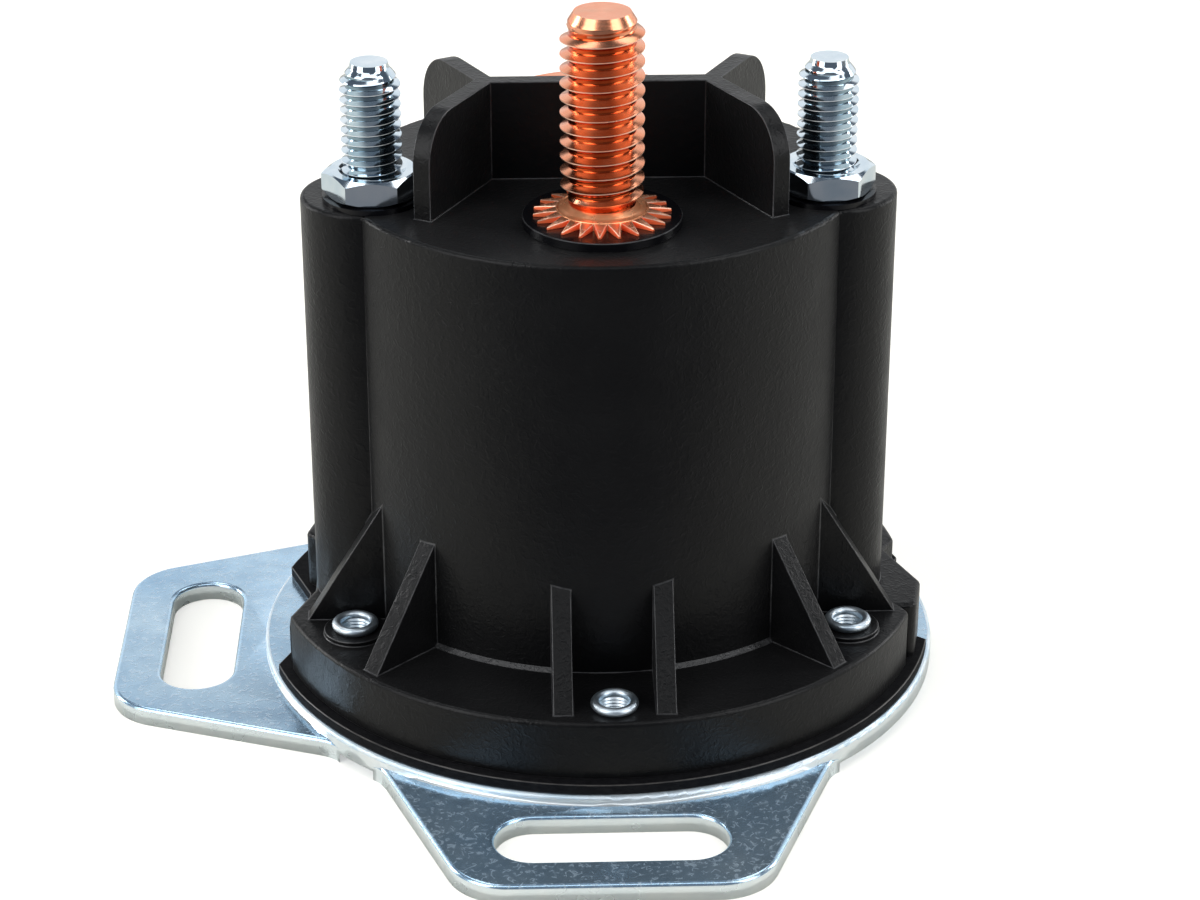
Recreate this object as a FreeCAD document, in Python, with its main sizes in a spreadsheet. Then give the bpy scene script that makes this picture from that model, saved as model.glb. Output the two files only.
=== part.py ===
import FreeCAD, Part
import Sketcher
import math
import os

# Glow plug relay on a two-eared steel bracket, in millimetres.
# The origin is on the axis of the round body, on the face the two ears are bolted to. +Z is up,
# the front power stud and the front ear are on the -Y side, the left ear is on the -X side.

doc = FreeCAD.newDocument("GlowPlugRelay")
sheet = doc.addObject("Spreadsheet::Sheet", "Sizes")

# Driving dimensions, one piece after the other from the bracket up.
DRIVING = [
    ("plate_thickness", "1.9"),
    ("platform_lift", "1.0"),
    ("platform_radius", "34.6"),
    ("step_width", "1.9"),
    ("left_ear_length", "14.9"),
    ("front_ear_length", "13.1"),
    ("ear_tip_half_width", "13.7"),
    ("ear_root_half_width", "21.8"),
    ("ear_corner_radius", "6.0"),
    ("ear_neck_radius", "5.0"),
    ("plate_edge_radius", "0.45"),
    ("left_slot_offset", "6.6"),
    ("front_slot_offset", "5.3"),
    ("slot_width", "7.4"),
    ("slot_length", "22.0"),
    ("gasket_thickness", "1.1"),
    ("gasket_setback", "0.4"),
    ("gasket_recess_depth", "4.0"),
    ("gasket_recess_half", "4.6"),
    ("gasket_front_left", "10.2"),
    ("gasket_front_right", "7.2"),
    ("gasket_rear", "10.6"),
    ("rivet_end_distance", "29.9"),
    ("rivet_side_across", "24.5"),
    ("rivet_side_along", "14.6"),
    ("rivet_right_across", "24.25"),
    ("rivet_right_along", "15.4"),
    ("front_shift", "0.6"),
    ("rivet_barrel_radius", "1.7"),
    ("rivet_bore_radius", "1.2"),
    ("rivet_rim_radius", "2.3"),
    ("rivet_rim_height", "0.9"),
    ("rivet_foot_radius", "2.3"),
    ("rivet_foot_height", "0.7"),
    ("rivet_hole_clearance", "0.05"),
    ("flange_height", "6.05"),
    ("lobe_radius", "33.1"),
    ("flank_radius", "31.3"),
    ("lobe_end_right", "12.1"),
    ("lobe_end_left", "11.0"),
    ("side_pad_front", "10.85"),
    ("side_pad_notch", "30.1"),
    ("side_pad_near", "31.7"),
    ("side_pad_reach", "32.75"),
    ("side_pad_corner", "5.7"),
    ("side_pad_back", "1.4"),
    ("side_pad_foot", "29.8"),
    ("flank_start_right", "3.6"),
    ("flank_start_left", "7.0"),
    ("recess_station", "28.9"),
    ("recess_half", "5.4"),
    ("rear_lobe_start", "13.5"),
    ("rear_lobe_step", "17.5"),
    ("side_lug_height", "4.0"),
    ("side_lug_reach", "31.4"),
    ("side_lug_near", "7.4"),
    ("side_lug_far", "9.6"),
    ("side_lug_overlap", "1.0"),
    ("flange_corner_radius", "1.0"),
    ("flange_rim_radius", "0.5"),
    ("rivet_pad_radius", "3.1"),
    ("rivet_pad_height", "0.5"),
    ("body_height", "42.4"),
    ("body_depth", "23.5"),
    ("body_arc_radius", "26.0"),
    ("body_half_width", "22.6"),
    ("body_wall", "2.2"),
    ("body_edge_radius", "0.45"),
    ("boss_setback", "0.1"),
    ("boss_along", "3.9"),
    ("boss_radius", "6.3"),
    ("boss_channel_radius", "3.9"),
    ("deck_thickness", "3.0"),
    ("contact_room_height", "16.95"),
    ("contact_room_ledge", "1.1"),
    ("gusset_thickness", "1.9"),
    ("gusset_overlap", "0.3"),
    ("gusset_toe", "32.2"),
    ("gusset_rise", "12.5"),
    ("gusset_angle", "45.0"),
    ("end_gusset_overlap", "0.9"),
    ("end_gusset_across", "4.9"),
    ("end_gusset_toe", "31.5"),
    ("end_gusset_rise", "9.85"),
    ("side_gusset_along", "11.1"),
    ("side_gusset_overlap", "1.4"),
    ("side_gusset_toe", "29.3"),
    ("rear_side_gusset_toe", "28.2"),
    ("side_gusset_rise", "13.3"),
    ("barrier_height", "9.9"),
    ("barrier_thickness", "1.8"),
    ("barrier_half_width", "10.9"),
    ("wing_angle", "27.5"),
    ("front_wing_length", "13.0"),
    ("front_wing_rounding", "4.6"),
    ("rear_wing_length", "11.7"),
    ("rear_wing_rounding", "5.0"),
    ("power_stud_distance", "12.5"),
    ("power_stud_radius", "3.95"),
    ("power_stud_rise", "20.7"),
    ("power_shoulder_radius", "4.15"),
    ("power_shoulder_rise", "1.65"),
    ("power_neck_radius", "3.3"),
    ("power_neck_height", "0.6"),
    ("power_tip_radius", "2.72"),
    ("power_tip_height", "1.3"),
    ("power_head_radius", "5.6"),
    ("power_head_thickness", "3.5"),
    ("power_hole_clearance", "0.1"),
    ("washer_radius", "7.55"),
    ("washer_thickness", "0.9"),
    ("star_rim_radius", "4.75"),
    ("star_radius", "6.57"),
    ("star_thickness", "1.1"),
    ("star_web_thickness", "0.6"),
    ("star_tooth_half_width", "0.42"),
    ("star_tooth_count", "22"),
    ("rear_post_radius", "5.2"),
    ("rear_post_rise", "3.7"),
    ("rear_head_radius", "6.3"),
    ("rear_hole_clearance", "0.1"),
    ("rear_tap_radius", "3.3"),
    ("rear_tap_depth", "8.0"),
    ("terminal_disc_radius", "10.8"),
    ("terminal_disc_thickness", "1.8"),
    ("coil_stud_inset", "0.8"),
    ("coil_stud_along", "5.3"),
    ("coil_stud_radius", "2.9"),
    ("coil_shank_radius", "2.6"),
    ("coil_thread_gap", "0.3"),
    ("coil_stud_rise", "13.65"),
    ("coil_stud_tip_radius", "1.85"),
    ("coil_stud_tip_height", "1.2"),
    ("coil_head_radius", "3.6"),
    ("coil_head_thickness", "2.4"),
    ("coil_hole_clearance", "0.1"),
    ("seal_radius", "4.9"),
    ("seal_thickness", "0.5"),
    ("nut_across_flats", "8.5"),
    ("nut_height", "2.5"),
    ("nut_clearance", "0.05"),
    ("can_clearance", "0.3"),
    ("can_wall", "1.6"),
    ("can_floor", "2.0"),
    ("can_notch_width", "3.0"),
    ("can_notch_depth", "4.2"),
    ("pole_plate_thickness", "2.0"),
    ("core_spigot_radius", "4.5"),
    ("core_length", "10.5"),
    ("core_clearance", "0.1"),
    ("rod_radius", "1.6"),
    ("rod_running_clearance", "0.08"),
    ("tube_bore_radius", "6.03"),
    ("tube_wall", "0.37"),
    ("bobbin_bore_clearance", "0.1"),
    ("bobbin_tube_wall", "1.0"),
    ("bobbin_can_gap", "0.3"),
    ("bobbin_flange_thickness", "1.4"),
    ("bobbin_end_gap", "0.3"),
    ("winding_setback", "0.8"),
    ("bumper_radius", "5.6"),
    ("bumper_thickness", "1.0"),
    ("plunger_radius", "5.95"),
    ("plunger_seat_gap", "0.05"),
    ("plunger_travel", "2.8"),
    ("plunger_stop_gap", "0.05"),
    ("spring_pocket_radius", "3.4"),
    ("spring_pocket_depth", "5.0"),
    ("rod_socket_depth", "4.0"),
    ("return_spring_radius", "2.5"),
    ("return_wire_radius", "0.3"),
    ("return_spring_turns", "5"),
    ("contact_gap", "2.05"),
    ("disc_room_gap", "2.0"),
    ("disc_thickness", "1.6"),
    ("disc_bore_radius", "3.2"),
    ("bush_flange_radius", "5.4"),
    ("bush_upper_thickness", "0.8"),
    ("bush_lower_thickness", "1.2"),
    ("bush_spigot_clearance", "0.1"),
    ("clip_radius", "3.0"),
    ("clip_thickness", "0.5"),
    ("clip_gap", "0.05"),
    ("rod_end_length", "0.6"),
    ("contact_spring_length", "5.0"),
    ("contact_spring_radius", "2.9"),
    ("contact_wire_radius", "0.35"),
    ("contact_spring_turns", "3.5"),
    ("collar_radius", "4.4"),
    ("collar_thickness", "0.8"),
    ("lead_radius", "0.5"),
    ("lead_drop", "3.2"),
    ("lead_bend_radius", "1.6"),
]

# Levels and places that follow from the driving dimensions.
DERIVED = [
    ("platform_top", "=platform_lift + plate_thickness"),
    ("platform_diagonal", "=platform_radius / sqrt(2)"),
    ("left_ear_reach", "=platform_radius + left_ear_length"),
    ("front_ear_reach", "=platform_radius + front_ear_length"),
    ("left_slot_distance", "=platform_radius + left_slot_offset"),
    ("front_slot_distance", "=platform_radius + front_slot_offset"),
    ("ear_root_station", "=sqrt(platform_radius ^ 2 - ear_root_half_width ^ 2)"),
    ("step_inner_radius", "=platform_radius - step_width"),
    ("slot_end_radius", "=slot_width / 2"),
    ("slot_half_straight", "=slot_length / 2 - slot_width / 2"),
    ("flange_base", "=platform_top + gasket_thickness"),
    ("flange_top", "=flange_base + flange_height"),
    ("gasket_radius", "=platform_radius - gasket_setback"),
    ("gasket_recess_station", "=gasket_radius - gasket_recess_depth"),
    ("gasket_front_left_across", "=sqrt(gasket_radius ^ 2 - gasket_front_left ^ 2)"),
    ("gasket_front_right_across", "=sqrt(gasket_radius ^ 2 - gasket_front_right ^ 2)"),
    ("gasket_rear_across", "=sqrt(gasket_radius ^ 2 - gasket_rear ^ 2)"),
    ("rivet_hole_radius", "=rivet_barrel_radius + rivet_hole_clearance"),
    ("rivet_side_seat", "=flange_top + rivet_pad_height"),
    ("rivet_foot_level", "=platform_lift - rivet_foot_height"),
    ("rivet_crown_radius", "=(rivet_bore_radius + rivet_rim_radius) / 2"),
    ("end_rim_edge", "=flange_top + rivet_rim_height / 2"),
    ("end_rim_crown", "=flange_top + rivet_rim_height"),
    ("side_rim_edge", "=rivet_side_seat + rivet_rim_height / 2"),
    ("side_rim_crown", "=rivet_side_seat + rivet_rim_height"),
    ("lobe_right_across", "=sqrt(lobe_radius ^ 2 - lobe_end_right ^ 2)"),
    ("lobe_left_across", "=sqrt(lobe_radius ^ 2 - lobe_end_left ^ 2)"),
    ("flank_right_across", "=sqrt(flank_radius ^ 2 - flank_start_right ^ 2)"),
    ("flank_left_across", "=sqrt(flank_radius ^ 2 - flank_start_left ^ 2)"),
    ("flank_end_across", "=sqrt(flank_radius ^ 2 - rear_lobe_start ^ 2)"),
    ("rear_lobe_across", "=sqrt(lobe_radius ^ 2 - rear_lobe_step ^ 2)"),
    ("side_lug_root", "=recess_station - side_lug_overlap"),
    ("deck_top", "=flange_top + body_height"),
    ("deck_under", "=deck_top - deck_thickness"),
    ("body_arc_offset", "=body_arc_radius - body_depth"),
    ("body_corner", "=sqrt(body_arc_radius ^ 2 - body_half_width ^ 2) - body_arc_offset"),
    ("room_arc_radius", "=body_arc_radius - body_wall"),
    ("room_half_width", "=body_half_width - body_wall"),
    ("room_corner", "=sqrt(room_arc_radius ^ 2 - room_half_width ^ 2) - body_arc_offset"),
    ("boss_across", "=body_half_width - boss_setback"),
    ("boss_rim_inner", "=boss_radius - body_edge_radius"),
    ("boss_rim_level", "=deck_top - body_edge_radius"),
    ("gusset_root", "=body_depth - gusset_overlap"),
    ("gusset_top", "=flange_top + gusset_rise"),
    ("end_gusset_root", "=body_depth - end_gusset_overlap"),
    ("end_gusset_top", "=flange_top + end_gusset_rise"),
    ("end_gusset_left", "=end_gusset_across - front_shift"),
    ("end_gusset_right", "=end_gusset_across + front_shift"),
    ("side_gusset_root", "=body_half_width - side_gusset_overlap"),
    ("side_gusset_top", "=flange_top + side_gusset_rise"),
    ("barrier_top", "=deck_top + barrier_height"),
    ("barrier_half_thickness", "=barrier_thickness / 2"),
    ("front_wing_station", "=front_wing_length - front_wing_rounding"),
    ("front_wing_level", "=barrier_top - front_wing_rounding"),
    ("rear_wing_station", "=rear_wing_length - rear_wing_rounding"),
    ("rear_wing_level", "=barrier_top - rear_wing_rounding"),
    ("power_hole_radius", "=power_shoulder_radius + power_hole_clearance"),
    ("power_head_under", "=deck_under - power_head_thickness"),
    ("power_shoulder_top", "=deck_top + power_shoulder_rise"),
    ("power_neck_base", "=power_shoulder_top + power_neck_height"),
    ("power_thread_base", "=power_neck_base + power_neck_height"),
    ("power_tip", "=deck_top + power_stud_rise"),
    ("power_tip_base", "=power_tip - power_tip_height"),
    ("rear_hole_radius", "=rear_post_radius + rear_hole_clearance"),
    ("rear_post_top", "=deck_top + rear_post_rise"),
    ("rear_tap_base", "=rear_post_top - rear_tap_depth"),
    ("washer_top", "=deck_top + washer_thickness"),
    ("star_top", "=washer_top + star_thickness"),
    ("terminal_disc_top", "=washer_top + terminal_disc_thickness"),
    ("coil_stud_across", "=boss_across - coil_stud_inset"),
    ("coil_hole_radius", "=coil_shank_radius + coil_hole_clearance"),
    ("coil_head_under", "=deck_under - coil_head_thickness"),
    ("coil_tip", "=deck_top + coil_stud_rise"),
    ("coil_tip_base", "=coil_tip - coil_stud_tip_height"),
    ("seal_top", "=deck_top + seal_thickness"),
    ("nut_top", "=seal_top + nut_height"),
    ("coil_thread_base", "=nut_top + coil_thread_gap"),
    ("nut_bore_radius", "=coil_shank_radius + nut_clearance"),
    ("nut_half_flats", "=nut_across_flats / 2"),
    ("nut_corner", "=nut_across_flats / sqrt(3)"),
    ("nut_half_corner", "=nut_corner / 2"),
    ("can_radius", "=min(room_half_width; body_depth - body_wall) - can_clearance"),
    ("can_inner_radius", "=can_radius - can_wall"),
    ("can_floor_top", "=platform_top + can_floor"),
    ("pole_plate_top", "=deck_under - contact_room_height"),
    ("can_top", "=pole_plate_top - pole_plate_thickness"),
    ("can_notch_base", "=can_top - can_notch_depth"),
    ("contact_room_radius", "=can_radius - contact_room_ledge"),
    ("disc_radius", "=contact_room_radius - disc_room_gap"),
    ("gasket_opening_radius", "=can_radius + core_clearance"),
    ("core_radius", "=tube_bore_radius - core_clearance"),
    ("core_under", "=can_top - core_length"),
    ("rod_bore_radius", "=rod_radius + rod_running_clearance"),
    ("tube_outer_radius", "=tube_bore_radius + tube_wall"),
    ("bobbin_bore_radius", "=tube_outer_radius + bobbin_bore_clearance"),
    ("bobbin_tube_radius", "=bobbin_bore_radius + bobbin_tube_wall"),
    ("bobbin_flange_radius", "=can_inner_radius - bobbin_can_gap"),
    ("winding_radius", "=bobbin_flange_radius - winding_setback"),
    ("bobbin_base", "=can_floor_top + bobbin_end_gap"),
    ("bobbin_top", "=can_top - bobbin_end_gap"),
    ("winding_base", "=bobbin_base + bobbin_flange_thickness"),
    ("winding_top", "=bobbin_top - bobbin_flange_thickness"),
    ("bumper_top", "=can_floor_top + bumper_thickness"),
    ("plunger_base", "=bumper_top + plunger_seat_gap"),
    ("plunger_top", "=core_under - plunger_travel - plunger_stop_gap"),
    ("spring_pocket_base", "=plunger_top - spring_pocket_depth"),
    ("rod_base", "=spring_pocket_base - rod_socket_depth"),
    ("disc_top", "=power_head_under - contact_gap"),
    ("disc_under", "=disc_top - disc_thickness"),
    ("bush_top", "=disc_top + bush_upper_thickness"),
    ("bush_under", "=disc_under - bush_lower_thickness"),
    ("bush_spigot_radius", "=disc_bore_radius - bush_spigot_clearance"),
    ("clip_under", "=bush_top + clip_gap"),
    ("clip_top", "=clip_under + clip_thickness"),
    ("rod_top", "=clip_top + rod_end_length"),
    ("collar_top", "=bush_under - contact_spring_length"),
    ("collar_under", "=collar_top - collar_thickness"),
    ("coil_stud_distance", "=sqrt(coil_stud_across ^ 2 + coil_stud_along ^ 2)"),
    ("lead_level", "=can_top - lead_drop"),
]


def fill_sheet():
    for row, (name, text) in enumerate(DRIVING + DERIVED, start=1):
        sheet.set("A%d" % row, name)
        sheet.set("B%d" % row, text)
        sheet.setAlias("B%d" % row, name)
    doc.recompute()


def is_number(text):
    return text.lstrip("-")[0].isdigit()


def number(text):
    # value of "name", "-name" or a plain number
    if is_number(text):
        return float(text)
    sign = -1.0 if text.startswith("-") else 1.0
    return sign * float(sheet.get(text.lstrip("-")))


def bound(text):
    # the same term as an expression on the sheet
    if is_number(text):
        return text
    if text.startswith("-"):
        return "-Sizes." + text[1:]
    return "Sizes." + text


def new_body(label, x="0", y="0"):
    body = doc.addObject("PartDesign::Body", label)
    body.Label = label
    body.setExpression(".Placement.Base.x", bound(x))
    body.setExpression(".Placement.Base.y", bound(y))
    return body


def origin_feature(body, role):
    for feature in body.Origin.OriginFeatures:
        if feature.Role == role:
            return feature


def new_sketch(body, name, role="XY_Plane", level="0"):
    sketch = body.newObject("Sketcher::SketchObject", name)
    sketch.AttachmentSupport = [(origin_feature(body, role), "")]
    sketch.MapMode = "FlatFace"
    if level != "0":
        sketch.setExpression(".AttachmentOffset.Base.z", bound(level))
    return sketch


def pin(sketch, geometry, point, x, y):
    # hold one point of the sketch at named distances from the sketch origin
    for kind, axis, text in (("DistanceX", -2, x), ("DistanceY", -1, y)):
        if text == "0":
            sketch.addConstraint(Sketcher.Constraint("PointOnObject", geometry, point, axis))
            continue
        value = number(text)
        index = sketch.addConstraint(Sketcher.Constraint(kind, -1, 1, geometry, point, value))
        sketch.setExpression("Constraints[%d]" % index, bound(text))


def fix_radius(sketch, geometry, radius):
    index = sketch.addConstraint(Sketcher.Constraint("Radius", geometry, number(radius)))
    sketch.setExpression("Constraints[%d]" % index, bound(radius))


def add_circle(sketch, radius, x="0", y="0"):
    centre = FreeCAD.Vector(number(x), number(y), 0)
    circle = Part.Circle(centre, FreeCAD.Vector(0, 0, 1), number(radius))
    index = sketch.addGeometry(circle, False)
    if x == "0" and y == "0":
        sketch.addConstraint(Sketcher.Constraint("Coincident", index, 3, -1, 1))
    else:
        pin(sketch, index, 3, x, y)
    fix_radius(sketch, index, radius)


def arc_between(start, end, radius):
    # counterclockwise arc of the given radius, never more than half a turn
    chord = end.sub(start)
    middle = start.add(end).multiply(0.5)
    rise = math.sqrt(max(radius ** 2 - (chord.Length / 2) ** 2, 0.0))
    across = FreeCAD.Vector(-chord.y, chord.x, 0).normalize().multiply(rise)
    centre = middle.add(across)
    first = math.atan2(start.y - centre.y, start.x - centre.x)
    last = math.atan2(end.y - centre.y, end.x - centre.x)
    circle = Part.Circle(centre, FreeCAD.Vector(0, 0, 1), radius)
    return Part.ArcOfCircle(circle, first, last)


def add_outline(sketch, corners, arcs=None):
    # closed outline through the corners, counterclockwise, with outward arcs on some sides
    arcs = arcs or {}
    count = len(corners)
    points = [FreeCAD.Vector(number(x), number(y), 0) for x, y in corners]
    sides = []
    for side in range(count):
        start = points[side]
        end = points[(side + 1) % count]
        if side in arcs:
            curve = arc_between(start, end, number(arcs[side]))
        else:
            curve = Part.LineSegment(start, end)
        sides.append(sketch.addGeometry(curve, False))
    for side in range(count):
        following = sides[(side + 1) % count]
        sketch.addConstraint(Sketcher.Constraint("Coincident", sides[side], 2, following, 1))
    for side, (x, y) in enumerate(corners):
        pin(sketch, sides[side], 1, x, y)
    for side, radius in arcs.items():
        fix_radius(sketch, sides[side], radius)


def add_slot(sketch, first, second, radius):
    # long hole with round ends about two centres
    begin = FreeCAD.Vector(number(first[0]), number(first[1]), 0)
    finish = FreeCAD.Vector(number(second[0]), number(second[1]), 0)
    run = finish.sub(begin).normalize()
    right = FreeCAD.Vector(run.y, -run.x, 0) * number(radius)
    heading = math.atan2(run.y, run.x)
    quarter = math.pi / 2
    up = FreeCAD.Vector(0, 0, 1)
    far_circle = Part.Circle(finish, up, number(radius))
    near_circle = Part.Circle(begin, up, number(radius))
    curves = [
        Part.LineSegment(begin + right, finish + right),
        Part.ArcOfCircle(far_circle, heading - quarter, heading + quarter),
        Part.LineSegment(finish - right, begin - right),
        Part.ArcOfCircle(near_circle, heading + quarter, heading + 3 * quarter),
    ]
    sides = [sketch.addGeometry(curve, False) for curve in curves]
    for side in range(4):
        following = sides[(side + 1) % 4]
        sketch.addConstraint(Sketcher.Constraint("Tangent", sides[side], 2, following, 1))
    pin(sketch, sides[1], 3, second[0], second[1])
    pin(sketch, sides[3], 3, first[0], first[1])
    fix_radius(sketch, sides[1], radius)
    fix_radius(sketch, sides[3], radius)


def pad(body, sketch, name, length, both_ways=False):
    feature = body.newObject("PartDesign::Pad", name)
    feature.Profile = sketch
    feature.setExpression("Length", bound(length))
    feature.Midplane = both_ways
    body.Tip = feature
    return feature


def pocket(body, sketch, name, depth, upward=False):
    feature = body.newObject("PartDesign::Pocket", name)
    feature.Profile = sketch
    feature.setExpression("Length", bound(depth))
    feature.Reversed = upward
    body.Tip = feature
    return feature


def revolve(body, sketch, name):
    feature = body.newObject("PartDesign::Revolution", name)
    feature.Profile = sketch
    feature.ReferenceAxis = (sketch, ["V_Axis"])
    feature.Angle = 360
    body.Tip = feature
    return feature


def edges_at_level(shape, level, tolerance=1e-4):
    # names of the edges that lie wholly in one horizontal plane
    names = []
    for index, edge in enumerate(shape.Edges, start=1):
        box = edge.BoundBox
        if abs(box.ZMin - level) < tolerance and abs(box.ZMax - level) < tolerance:
            names.append("Edge%d" % index)
    return names


def upright_edges(shape, places, tolerance=0.05):
    # names of the vertical edges that stand over the given points of the plan
    names = []
    for index, edge in enumerate(shape.Edges, start=1):
        box = edge.BoundBox
        if box.XLength > tolerance or box.YLength > tolerance:
            continue
        for x, y in places:
            if abs(box.XMin - number(x)) < tolerance and abs(box.YMin - number(y)) < tolerance:
                names.append("Edge%d" % index)
                break
    return names


def fillet(body, base, names, name, radius):
    feature = body.newObject("PartDesign::Fillet", name)
    feature.Base = (base, names)
    feature.setExpression("Radius", bound(radius))
    body.Tip = feature
    return feature


def turned(label, profile, x="0", y="0"):
    # a round piece: the profile is (radius, level) pairs, turned about its own upright axis
    body = new_body(label, x, y)
    sketch = new_sketch(body, label + "_profile", "XZ_Plane")
    add_outline(sketch, profile)
    revolve(body, sketch, label + "_turned")
    return body


def ring(label, inner, outer, base, top, x="0", y="0"):
    return turned(label, [(inner, base), (outer, base), (outer, top), (inner, top)], x, y)


def end_rivet_places():
    return [("front_shift", "-rivet_end_distance"), ("0", "rivet_end_distance")]


def side_rivet_places():
    return [
        ("rivet_right_across", "-rivet_right_along"),
        ("rivet_side_across", "rivet_side_along"),
        ("-rivet_side_across", "rivet_side_along"),
        ("-rivet_side_across", "-rivet_side_along"),
    ]


def rivet_places():
    return end_rivet_places() + side_rivet_places()


def cut_rivet_holes(body, name, base, depth):
    sketch = new_sketch(body, name + "_holes_plan", "XY_Plane", base)
    for x, y in rivet_places():
        add_circle(sketch, "rivet_hole_radius", x, y)
    return pocket(body, sketch, name + "_holes", depth, upward=True)


# Stamped steel bracket: flat ears at the mounting face, round platform pressed up over a step.
def make_bracket():
    body = new_body("mounting_bracket")
    left = [
        ("-left_ear_reach", "-ear_tip_half_width"),
        ("-ear_root_station", "-ear_root_half_width"),
        ("-ear_root_station", "ear_root_half_width"),
        ("-left_ear_reach", "ear_tip_half_width"),
    ]
    front = [
        ("-ear_tip_half_width", "-front_ear_reach"),
        ("ear_tip_half_width", "-front_ear_reach"),
        ("ear_root_half_width", "-ear_root_station"),
        ("-ear_root_half_width", "-ear_root_station"),
    ]
    blank = new_sketch(body, "blank_plan")
    add_circle(blank, "platform_radius")
    pad(body, blank, "blank", "plate_thickness")
    for name, corners in (("left_ear", left), ("front_ear", front)):
        plan = new_sketch(body, name + "_plan")
        add_outline(plan, corners)
        block = pad(body, plan, name, "plate_thickness")
    doc.recompute()
    tips = upright_edges(block.Shape, [left[0], left[3], front[0], front[1]])
    rounded = fillet(body, block, tips, "ear_corners", "ear_corner_radius")
    doc.recompute()
    roots = upright_edges(rounded.Shape, [left[1], left[2], front[2], front[3]])
    necks = fillet(body, rounded, roots, "ear_necks", "ear_neck_radius")
    doc.recompute()
    rims = edges_at_level(necks.Shape, number("plate_thickness"))
    fillet(body, necks, rims, "ear_rims", "plate_edge_radius")
    press_platform(body, left, front)
    slots = new_sketch(body, "slots_plan")
    add_slot(slots, ("-left_slot_distance", "-slot_half_straight"),
             ("-left_slot_distance", "slot_half_straight"), "slot_end_radius")
    add_slot(slots, ("slot_half_straight", "-front_slot_distance"),
             ("-slot_half_straight", "-front_slot_distance"), "slot_end_radius")
    cut = pocket(body, slots, "slots", "plate_thickness", upward=True)
    doc.recompute()
    rims = edges_at_level(cut.Shape, number("platform_top"))
    rims += slot_rims(cut.Shape)
    fillet(body, cut, rims, "platform_and_slot_rims", "plate_edge_radius")
    cut_rivet_holes(body, "bracket", "platform_lift", "plate_thickness")
    return body


def press_platform(body, left, front):
    # the round platform stands one lift above the ears and is hollow underneath up to the step
    raised = new_sketch(body, "platform_plan", "XY_Plane", "platform_lift")
    add_circle(raised, "platform_radius")
    pad(body, raised, "platform", "plate_thickness")
    below = new_sketch(body, "platform_hollow_plan")
    add_circle(below, "step_inner_radius")
    pocket(body, below, "platform_hollow", "platform_lift", upward=True)
    centre = ("0", "0")
    between = new_sketch(body, "edge_between_ears_plan")
    add_outline(between, [centre, left[1], front[3]], {1: "platform_radius"})
    pocket(body, between, "edge_between_ears", "platform_lift", upward=True)
    far = new_sketch(body, "far_edge_plan")
    diagonal = ("platform_diagonal", "platform_diagonal")
    add_outline(far, [centre, front[2], diagonal, left[2]],
                {1: "platform_radius", 2: "platform_radius"})
    pocket(body, far, "far_edge", "platform_lift", upward=True)


def slot_rims(shape):
    # upper edges of the two slots: no further from a slot's centre than its own half diagonal
    reach = math.hypot(number("slot_length"), number("slot_width")) / 2
    centres = (FreeCAD.Vector(-number("left_slot_distance"), 0, 0),
               FreeCAD.Vector(0, -number("front_slot_distance"), 0))
    rims = []
    for name in edges_at_level(shape, number("plate_thickness")):
        edge = shape.getElement(name)
        for centre in centres:
            ends = [vertex.Point - centre for vertex in edge.Vertexes]
            if all(math.hypot(end.x, end.y) < reach for end in ends):
                rims.append(name)
                break
    return rims


# Flat gasket between the bracket and the housing, cut back at both sides.
def make_gasket():
    body = new_body("base_gasket")
    plan = new_sketch(body, "gasket_plan", "XY_Plane", "platform_top")
    add_outline(plan, [
        ("gasket_front_right_across", "-gasket_front_right"),
        ("gasket_recess_station", "-gasket_recess_half"),
        ("gasket_recess_station", "gasket_recess_half"),
        ("gasket_rear_across", "gasket_rear"),
        ("-gasket_rear_across", "gasket_rear"),
        ("-gasket_recess_station", "gasket_recess_half"),
        ("-gasket_recess_station", "-gasket_recess_half"),
        ("-gasket_front_left_across", "-gasket_front_left"),
    ], {3: "gasket_radius", 7: "gasket_radius"})
    add_circle(plan, "gasket_opening_radius")
    for x, y in rivet_places():
        add_circle(plan, "rivet_hole_radius", x, y)
    pad(body, plan, "gasket_sheet", "gasket_thickness")
    return body


def add_gusset(body, index, angle):
    # gusset on a line from the body's axis, turned from +X
    sketch = new_sketch(body, "gusset_%d_profile" % index, "XZ_Plane")
    turn = FreeCAD.Rotation(FreeCAD.Vector(0, 1, 0), angle)
    sketch.AttachmentOffset = FreeCAD.Placement(FreeCAD.Vector(0, 0, 0), turn)
    add_outline(sketch, [
        ("gusset_root", "flange_base"),
        ("gusset_toe", "flange_base"),
        ("gusset_toe", "flange_top"),
        ("gusset_root", "gusset_top"),
    ])
    pad(body, sketch, "gusset_%d" % index, "gusset_thickness", both_ways=True)


def add_end_gusset(body, index, way, across):
    # the gussets beside the front and rear rivets run front to back
    sketch = new_sketch(body, "end_gusset_%d_profile" % index, "YZ_Plane")
    sketch.setExpression(".AttachmentOffset.Base.z", bound(across))
    corners = [
        ("end_gusset_root", "flange_base"),
        ("end_gusset_toe", "flange_base"),
        ("end_gusset_toe", "flange_top"),
        ("end_gusset_root", "end_gusset_top"),
    ]
    if way < 0:
        corners = [("-" + along, level) for along, level in reversed(corners)]
    add_outline(sketch, corners)
    pad(body, sketch, "end_gusset_%d" % index, "gusset_thickness", both_ways=True)


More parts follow.
